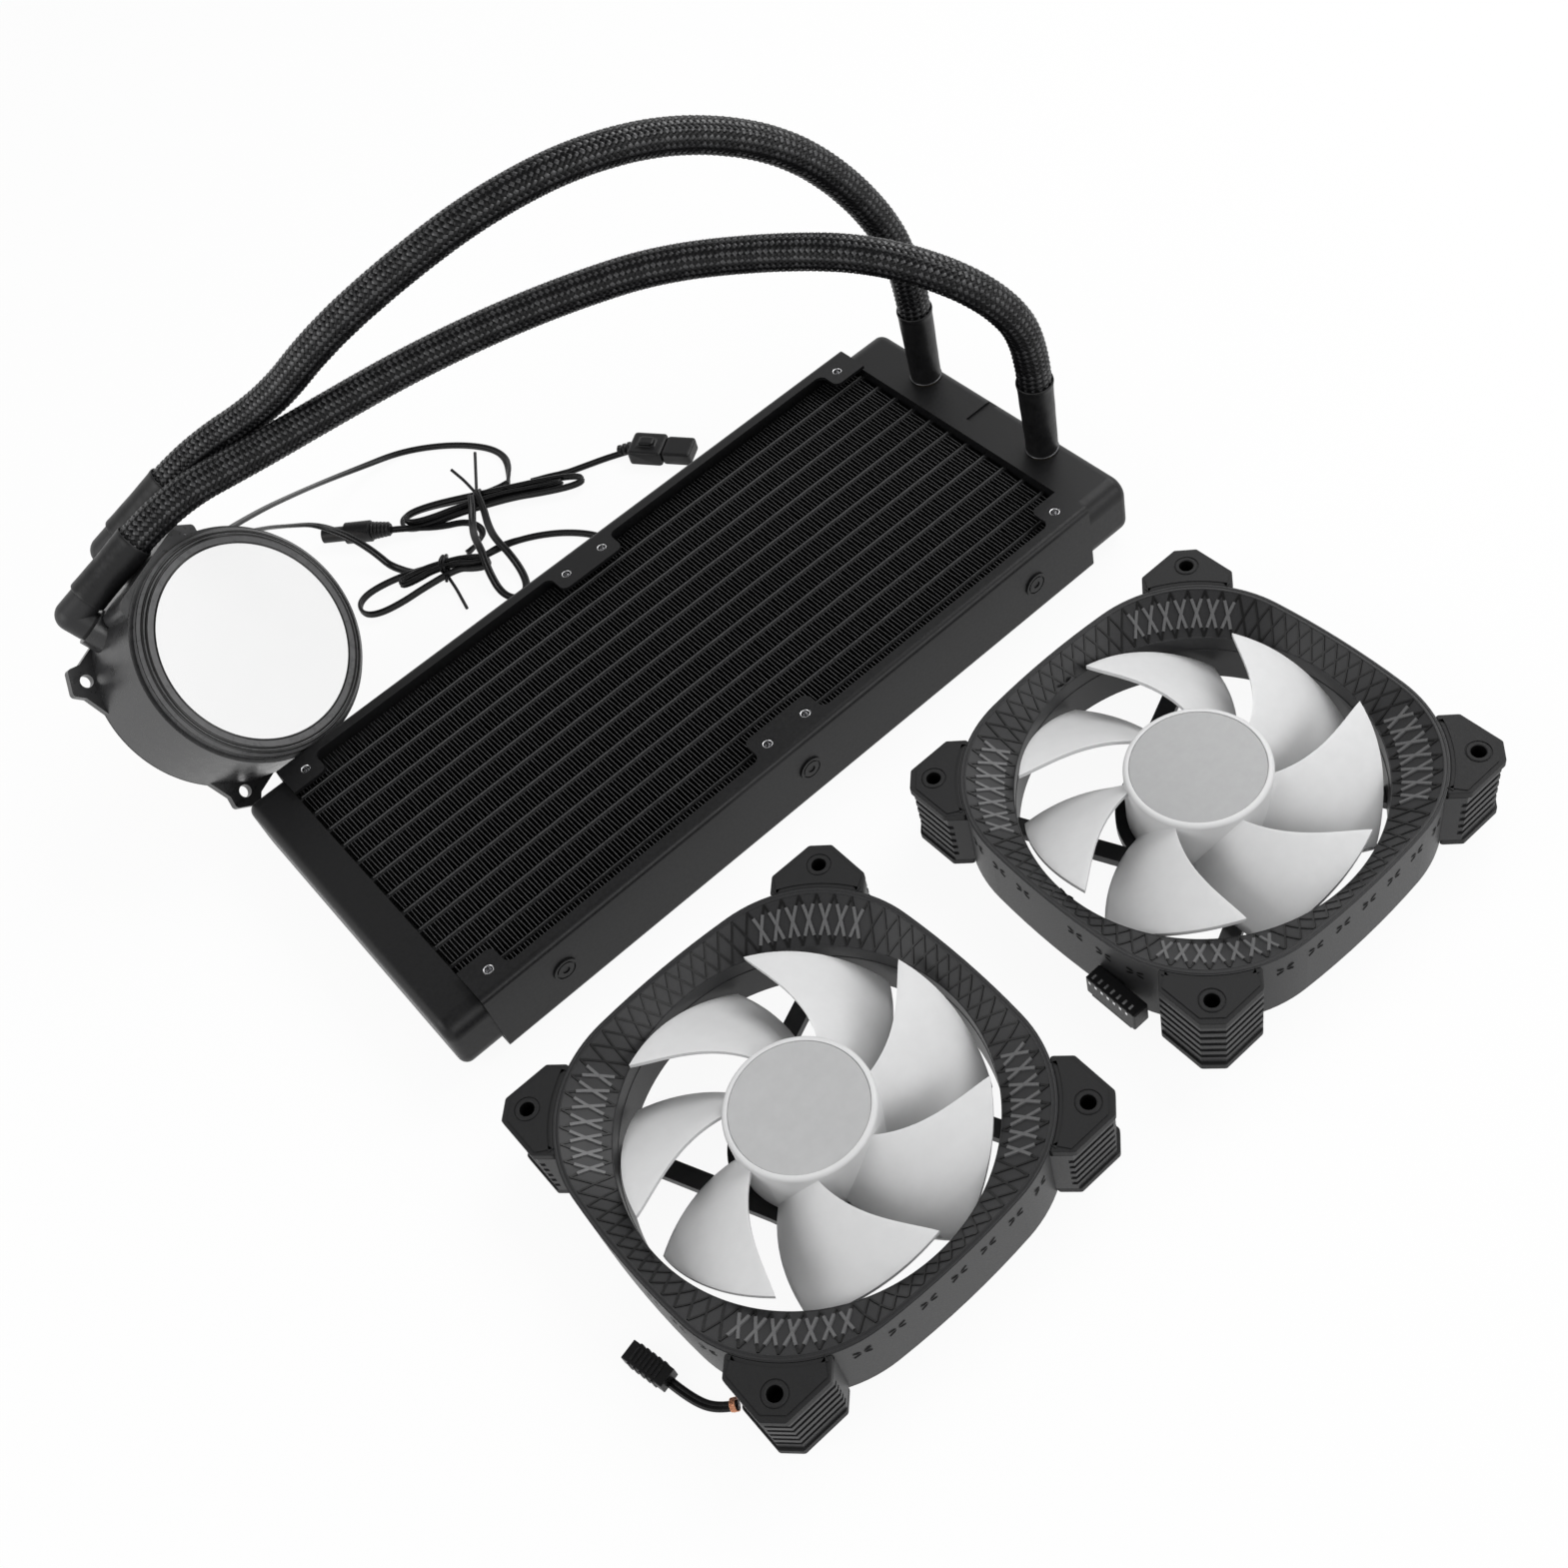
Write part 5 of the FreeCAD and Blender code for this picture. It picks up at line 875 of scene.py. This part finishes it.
def radiator_fins():
    """Folded strips: thin walls across each gap between tubes, their faces darkened as painted
    shade and their upper and lower edges lightened as a painted highlight.

    A thin lighter line of painted highlight runs along each tube's edges.
    """
    shake = np.random.default_rng(FIN_SEED)
    form = Form()
    half = (TUBE_PITCH - TUBE_THICKNESS) / 2
    count = int(2 * FIN_REACH / FIN_PITCH)
    for strip in range(TUBE_COUNT + 1):
        middle = (strip - TUBE_COUNT / 2) * TUBE_PITCH
        for k in range(count):
            x = -FIN_REACH + FIN_PITCH * (k + 0.5)
            lean = FIN_PITCH * FIN_LEAN * (1 if k % 2 else -1)
            near = x - lean + shake.normal(0, FIN_SHAKE)
            far = x + lean + shake.normal(0, FIN_SHAKE)
            top = CORE_HIGH - FIN_BELOW + shake.normal(0, FIN_TOP_SHAKE)
            walls = []
            for z in (CORE_LOW + FIN_FOOT, top):
                for end, y in ((near, middle - half), (far, middle + half)):
                    walls += [(end - FIN_SHEET / 2, y, z), (end + FIN_SHEET / 2, y, z)]
            # The sheet's faces carry the painted shade, and its upper and lower edges the painted
            # highlight
            form.add(walls, [(0, 2, 6, 4), (1, 5, 7, 3)], 1)
            form.add(walls, [(4, 6, 7, 5), (0, 1, 3, 2)], 0)
    # Lines of painted highlight along each tube's upper and lower edges
    for tube in range(TUBE_COUNT):
        y = (tube - (TUBE_COUNT - 1) / 2) * TUBE_PITCH
        for z in (CORE_LOW, CORE_HIGH):
            line = np.array([(x, y + shake.normal(0, TUBE_HIGHLIGHT_SHAKE), z)
                             for x in np.linspace(-FIN_REACH, FIN_REACH, TUBE_HIGHLIGHT_STEPS)])
            form.tube(line, TUBE_HIGHLIGHT_RADIUS, 6, 2)
    fins = form.piece("fin_strips", [FIN_PAINTED_HIGHLIGHT, FIN_PAINTED_SHADE, TUBE_PAINTED_HIGHLIGHT], False)
    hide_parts("radiator_fins")


radiator_fins()

SCREW_X = (-112.5, -7.5, 7.5, 112.5)
SCREW_Y = 52.5
CHANNEL_HEIGHT = 27.0
INSERT_TOP = [(1.74, -1.0), (1.74, -0.35), (1.6, -0.2), (1.42, -0.25)]
INSERT_END = [(1.2, -3.4), (0.0, -3.4)]
THREAD_TURNS = 6
THREAD_PITCH = 0.5
INSERT_SIDES = 28


def screw_inserts():
    """Threaded steel nuts in the screw holes of both flanges."""
    thread = [spot for k in range(THREAD_TURNS)
              for spot in ((1.16, -0.45 - k * THREAD_PITCH), (1.38, -0.7 - k * THREAD_PITCH))]
    form = Form()
    for x in SCREW_X:
        for y in (-SCREW_Y, SCREW_Y):
            for z, way in ((CHANNEL_HEIGHT, UP), (0.0, -UP)):
                form.lathe(INSERT_TOP + thread + INSERT_END, (x, y, z), way, INSERT_SIDES)
    form.piece("screw_inserts", [STEEL])


screw_inserts()


# Shrunk sleeves on the radiator's ports and the pump's elbows

PORT_X = 131.45
PORT_Y = 27.9
PORT_SLEEVE_FOOT = 25.1
PORT_SLEEVE_TOP = 53.1
ELBOW_SLEEVE_LENGTH = 23.0
SLEEVE_SIDES = 40
SLEEVE_STEPS = 24
SLEEVE_START = 0.9
WRINKLE_DEPTH = 0.10
WRINKLE_WAVES = 7
# Sections as radius and height: the feet from the sleeve's foot, the lips from its upper end
PORT_FOOT = [(4.4, 0.0), (5.1, 0.0), (5.25, 0.3)]
PORT_LIP = [(5.86, -0.8), (6.0, 0.2), (5.92, 0.8), (5.72, 0.7), (5.55, -0.4), (5.2, -1.2)]
PORT_CLAMP = [(5.0, -0.45), (5.42, -0.35), (5.5, -0.1), (5.42, 0.15), (5.2, 0.2)]
PORT_WALL = 5.22
PORT_WIDENING = 0.55
PORT_MARGIN = 2.0
ELBOW_FOOT = [(5.0, 0.0), (5.7, 0.05), (5.95, 0.35)]
ELBOW_LIP = [(6.08, -0.7), (6.15, 0.1), (6.02, 0.6), (5.75, 0.5), (5.6, -0.5), (5.2, -1.2)]
ELBOW_WALL = 6.02
ELBOW_WAIST = 0.12
ELBOW_MARGIN = 2.2


def sleeve_profile(foot, radii, lip, length, margin):
    """A sleeve's section: its foot, evenly spaced wall points of the given radii, and its lip."""
    heights = SLEEVE_START + (length - margin) * np.linspace(0, 1, len(radii))
    return foot + list(zip(radii, heights)) + [(radius, length + rise) for radius, rise in lip]


def radiator_sleeves():
    """Sleeves over the ports, with a clamp ring at the foot and an open lip."""
    widening = PORT_WALL + PORT_WIDENING * np.linspace(0, 1, SLEEVE_STEPS + 1)
    profile = sleeve_profile(PORT_FOOT, widening, PORT_LIP, PORT_SLEEVE_TOP - PORT_SLEEVE_FOOT,
                             PORT_MARGIN)
    form = Form()
    for seed, y in ((1, -PORT_Y), (2, PORT_Y)):
        foot = (PORT_X, y, PORT_SLEEVE_FOOT)
        form.wrinkled(profile, foot, UP, seed)
        form.lathe(PORT_CLAMP, foot, UP, SLEEVE_SIDES, 1)
    sleeves = form.piece("port_sleeves", [SLEEVE_RUBBER, CLAMP])
    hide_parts("radiator_sleeves")


def pump_sleeves():
    """Sleeves on the pump's elbows, from below the hose's end to a lip round its braid."""
    waisted = ELBOW_WALL - ELBOW_WAIST * np.sin(np.linspace(0, math.pi, SLEEVE_STEPS + 1))
    profile = sleeve_profile(ELBOW_FOOT, waisted, ELBOW_LIP, ELBOW_SLEEVE_LENGTH, ELBOW_MARGIN)
    form = Form()
    for seed, route in ((5, HOSE_FRONT), (6, HOSE_REAR)):
        mouth = np.array(route[0])
        way = unit(np.array(route[1]) - mouth)
        form.wrinkled(profile, mouth - way * ELBOW_SLEEVE_LENGTH, way, seed)
    sleeves = form.piece("elbow_sleeves", [SLEEVE_RUBBER])
    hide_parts("pump_sleeves")


radiator_sleeves()
pump_sleeves()


# Pump head: thin rings in the bezel's grooves and round the lens

LENS_PLACE = np.array((-99.7, 84.5, 52.85))
PUMP_AXIS = np.array((0.39098, -0.70827, 0.58779))
PUMP_HEIGHT = 35.1
PUMP_SIDES = 128
# Beads: radius, height from the lens, half width, material
BEADS = ((31.85, 0.0, 0.32, 0), (34.3, -0.15, 0.42, 0), (35.0, -0.32, 0.2, 1),
         (35.7, -0.35, 0.42, 0), (37.0, -1.4, 0.25, 0))
FOOT_BEAD = [(39.4, 0.0), (39.85, 0.1), (39.84, 0.55), (39.7, 0.7)]


def bezel_lines():
    """Gloss black beads of painted shade in the grooves, one bright bead between them, and one at
    the foot.
    """
    form = Form()
    angles = np.radians(np.arange(-30, 211, 40))
    for radius, height, wide, kind in BEADS:
        profile = zip(radius + wide * np.cos(angles), height + 0.5 * wide * np.sin(angles))
        form.lathe(profile, LENS_PLACE, PUMP_AXIS, PUMP_SIDES, kind)
    form.lathe(FOOT_BEAD, LENS_PLACE - PUMP_AXIS * PUMP_HEIGHT, PUMP_AXIS, PUMP_SIDES)
    # The black beads and the foot bead are painted shade
    form.piece("bezel_lines", [GROOVE_PAINTED_SHADE, BEZEL_PLASTIC])


bezel_lines()


# Fans: ribs in the flared mouth, beads, marks on the side walls, pads

FAN_PLACES = {"fan_left": (-77.2, -147.9), "fan_right": (70.0, -150.5)}
FAN_TOP = 25.0
DUCT_RADIUS = 51.9
HALF_FAN = 59.6
FAN_EDGE = 0.35
FAN_EDGE_SEGMENTS = 2
BLADE_ANGLE = 50
PAD_ANGLE = 30
RIB_COUNT = 80
RIB_HALF_WIDTH = 0.26
RIB_HEIGHT = 0.25
RIB_STEPS = 4
RIB_FOOT = 0.05
RIB_FLANK = 1.3
RIB_SPAN = (0.02, 0.98)
RAISED_HALF_WIDTH = 0.4
RAISED_HEIGHT = 0.5
RAISED_SPAN = (0.2, 0.8)
RAISED_TURN = 0.3
RAISED_SPREAD = 17.0
DIAGONALS = (45.0, 135.0, 225.0, 315.0)
# Where looks at the frame start, and what the ribs leave free at the duct and the rim
LOOK_FROM = 90.0
LOOK_ABOVE = 5.0
RIM_BELOW = 0.05
DUCT_MARGIN = 0.15
RIM_MARGIN = 0.3


def surface_tree(node):
    mesh = NODES[node].data
    return BVHTree.FromPolygons([vertex.co * MILLIMETRES for vertex in mesh.vertices],
                                [tuple(face.vertices) for face in mesh.polygons])


class Mouth:
    """The flared mouth of a fan's frame, measured on the CAD frame by straight looks at it."""

    def __init__(self, node, centre):
        self.tree = surface_tree(node)
        self.centre = np.array((*centre, 0.0))

    def look(self, start, way):
        """The first point met on the frame and the surface's normal there."""
        spot, normal = self.tree.ray_cast(Vector(start), Vector(way))[:2]
        return np.array(spot), np.array(normal)

    def rim(self, angle):
        """Distance from the axis to the mouth's upper edge."""
        spot = self.look(self.centre + UP * (FAN_TOP - RIM_BELOW), level_ways(angle)[0])[0]
        return float(np.linalg.norm(spot[:2] - self.centre[:2]))

    def drop(self, angle, radius):
        """The point of the flare below a place, and its upward normal."""
        start = self.centre + level_ways(angle)[0] * radius + UP * (FAN_TOP + LOOK_ABOVE)
        spot, normal = self.look(start, -UP)
        return spot, normal if normal[2] > 0 else -normal

    def ring(self, angles, radii, height):
        """A level ring of points about the axis."""
        return np.array([self.centre + level_ways(angle)[0] * radius + UP * height
                         for angle, radius in zip(angles, radii)])


def ridge(form, mouth, ends, half_width, height, kind):
    """A low rib on the flare between two places given as (angle, share of the way out)."""
    spots = []
    for part in np.linspace(0, 1, RIB_STEPS + 1):
        angle = ends[0][0] + (ends[1][0] - ends[0][0]) * part
        share = ends[0][1] + (ends[1][1] - ends[0][1]) * part
        radius = DUCT_RADIUS + DUCT_MARGIN + (mouth.rim(angle) - RIM_MARGIN - DUCT_RADIUS) * share
        spots.append(mouth.drop(angle, radius))
    along = rows_unit(np.gradient(np.array([spot for spot, _ in spots]), axis=0))
    rows = []
    for (spot, normal), run in zip(spots, along):
        wide = unit(np.cross(normal, run)) * half_width
        foot, top = spot - normal * RIB_FOOT, spot + normal * height
        rows.append([foot - wide * RIB_FLANK, top - wide, top + wide, foot + wide * RIB_FLANK])
    form.grid(rows, False, kind)
    form.add([*rows[0], *rows[-1]], [(0, 1, 2, 3), (7, 6, 5, 4)], kind)


def mouth_ribs(name, mouth):
    """Crossed ribs round the flare in painted shade, raised crosses near the corners in painted
    highlight.
    """
    form = Form()
    pitch = 360.0 / RIB_COUNT
    for k in range(RIB_COUNT):
        angle = k * pitch
        middle = angle + pitch / 2
        for turn in (1, -1):
            ends = ((angle, RIB_SPAN[0]), (angle + turn * pitch, RIB_SPAN[1]))
            ridge(form, mouth, ends, RIB_HALF_WIDTH, RIB_HEIGHT, 0)
        if min(abs((angle - diagonal + 180) % 360 - 180) for diagonal in DIAGONALS) < RAISED_SPREAD:
            for turn in (RAISED_TURN * pitch, -RAISED_TURN * pitch):
                ends = ((middle - turn, RAISED_SPAN[0]), (middle + turn, RAISED_SPAN[1]))
                ridge(form, mouth, ends, RAISED_HALF_WIDTH, RAISED_HEIGHT, 1)
    # The lattice ribs carry painted shade, and the raised crosses a painted highlight
    form.piece(name + "_mouth_ribs", [RIB_PAINTED_SHADE, RAISED_PAINTED_HIGHLIGHT], False)


# Beads: distance out from the rim or from the duct's wall, height, radius, sides
RIM_BEADS = ((0.0, FAN_TOP - 0.1, 0.22, 8), (1.0, FAN_TOP - 0.12, 0.35, 8))
DUCT_BEADS = ((-0.02, 12.5, 0.16, 6), (0.1, 18.0, 0.22, 6))
BEAD_STEPS = 240


def fan_beads(name, mouth):
    """Fine beads as moulded: two along the mouth's upper edge and two round the duct."""
    form = Form()
    angles = np.linspace(0, 360, BEAD_STEPS, endpoint=False)
    rim = np.array([mouth.rim(angle) for angle in angles])
    duct = np.full(BEAD_STEPS, DUCT_RADIUS)
    for edge, beads in ((rim, RIM_BEADS), (duct, DUCT_BEADS)):
        for offset, height, radius, sides in beads:
            form.tube(mouth.ring(angles, edge + offset, height), radius, sides, closed=True)
    form.piece(name + "_beads", [FAN_PLASTIC])


PETALS_EACH_WAY = 3
PETAL_PITCH = 10.0
PETAL_HEIGHT = 18.4
PETAL_LIFT = 0.07
PETAL_SHAPE = ((0.3, 0.3), (0.9, 1.15), (2.3, 1.6), (2.65, 0.9), (1.4, 0.25))


def side_marks(name, mouth):
    """Seven four-petal marks on each side wall, as thin plates of painted shade on the wall's face.
    """
    form = Form()
    for quarter in range(4):
        out, beside = level_ways(90.0 * quarter)
        for k in range(-PETALS_EACH_WAY, PETALS_EACH_WAY + 1):
            start = mouth.centre + out * LOOK_FROM + beside * PETAL_PITCH * k + UP * PETAL_HEIGHT
            spot, normal = mouth.look(start, -out)
            along = unit(np.cross(UP, normal))
            for sx in (-1, 1):
                for sz in (-1, 1):
                    outline = [spot + along * sx * u + UP * sz * v + normal * PETAL_LIFT
                               for u, v in PETAL_SHAPE]
                    form.add(outline[::sx * sz], [range(len(outline))])
    # The petal plates are painted shade
    form.piece(name + "_side_marks", [RECESS_PAINTED_SHADE], False)


PAD_LENGTH = 18.8
PAD_SLANT = 4.1
PAD_CHAMFER = 4.6
PAD_HOLE = 52.5
PAD_BORE = 2.15
PANEL_INSET = 1.3
PANEL_HEIGHT = 0.28
PANEL_ROUND = 0.12
PANEL_HOLE = PAD_BORE + 1.6
HOLE_STEPS = 24
RING_SIDES = 32
WALL_SIDES = 24
# The ring round a screw hole and the wall in it, dark with painted shade, from the pad's face
RING_PROFILE = [(PAD_BORE, -0.6), (PAD_BORE, 0.25), (PAD_BORE + 0.25, 0.45),
                (PAD_BORE + 0.9, 0.45), (PAD_BORE + 1.15, 0.2), (PAD_BORE + 1.15, -0.1)]
WALL_PROFILE = [(PAD_BORE - 0.02, 0.0), (PAD_BORE - 0.02, -6.0), (0.0, -6.0)]


def flat_plate(outline, hole, radius, height):
    """A thin plate with rounded edges and one round hole, from a filled flat curve."""
    data = bpy.data.curves.new("plate", "CURVE")
    data.dimensions = "2D"
    data.fill_mode = "BOTH"
    data.extrude = mm(height / 2)
    data.bevel_depth = mm(PANEL_ROUND)
    data.bevel_resolution = 1
    circle = [(hole[0] + radius * math.cos(angle), hole[1] + radius * math.sin(angle))
              for angle in round_angles(HOLE_STEPS)]
    for loop in (outline, circle):
        spline = data.splines.new("POLY")
        spline.points.add(len(loop) - 1)
        for point, (x, y) in zip(spline.points, loop):
            point.co = (mm(x), mm(y), 0, 1)
        spline.use_cyclic_u = True
    holder = bpy.data.objects.new("plate", data)
    mesh = bpy.data.meshes.new_from_object(holder)
    points = np.array([vertex.co[:] for vertex in mesh.vertices]) * MILLIMETRES
    faces = [tuple(face.vertices) for face in mesh.polygons]
    bpy.data.objects.remove(holder)
    bpy.data.meshes.remove(mesh)
    return points, faces


def panel_outline(name, mouth):
    """The raised middle of the pad in the first quarter, about the fan's axis."""
    outer = HALF_FAN - PANEL_INSET
    side = [(outer - PAD_LENGTH - PAD_SLANT + 2.6, outer - PAD_SLANT),
            (outer - PAD_LENGTH + 1.2, outer), (outer - PAD_CHAMFER, outer)]
    pads = surface_tree(name + "_pads")
    start = Vector(mouth.centre + UP * (FAN_TOP - 1))
    arc = []
    for angle in np.linspace(30, 60, 21):
        way = level_ways(angle)[0]
        spot = pads.ray_cast(start, Vector(way))[0]
        if spot is not None:
            reach = np.linalg.norm(np.array(spot)[:2] - mouth.centre[:2]) + PANEL_INSET
            x, y = way[:2] * reach
            if max(x, y) < outer - 1.5:
                arc.append((x, y))
    return side + [(y, x) for x, y in side[::-1]] + arc


def pad_panels(name, mouth):
    """The raised middle of each upper pad, a ring round its screw hole and its wall in painted
    shade.
    """
    form = Form()
    hole = (PAD_HOLE, PAD_HOLE)
    points, faces = flat_plate(panel_outline(name, mouth), hole, PANEL_HOLE, PANEL_HEIGHT)
    place = mouth.centre + UP * FAN_TOP
    for quarter in range(4):
        turn = np.array((*level_ways(90.0 * quarter), UP))
        form.add(points @ turn + place, faces)
        middle = np.array((*hole, 0)) @ turn + place
        form.lathe(RING_PROFILE, middle, UP, RING_SIDES)
        # The hole's wall is painted shade
        form.lathe(WALL_PROFILE, middle, UP, WALL_SIDES, 1)
    form.piece(name + "_pad_panels", [PAD_RUBBER, RECESS_PAINTED_SHADE], False)


def dress_fans():
    for name, centre in FAN_PLACES.items():
        soften(NODES[name + "_impeller"], FAN_EDGE, FAN_EDGE_SEGMENTS, BLADE_ANGLE)
        soften(NODES[name + "_pads"], FAN_EDGE, FAN_EDGE_SEGMENTS, PAD_ANGLE)
        mouth = Mouth(name + "_frame", centre)
        mouth_ribs(name, mouth)
        fan_beads(name, mouth)
        side_marks(name, mouth)
        pad_panels(name, mouth)


dress_fans()
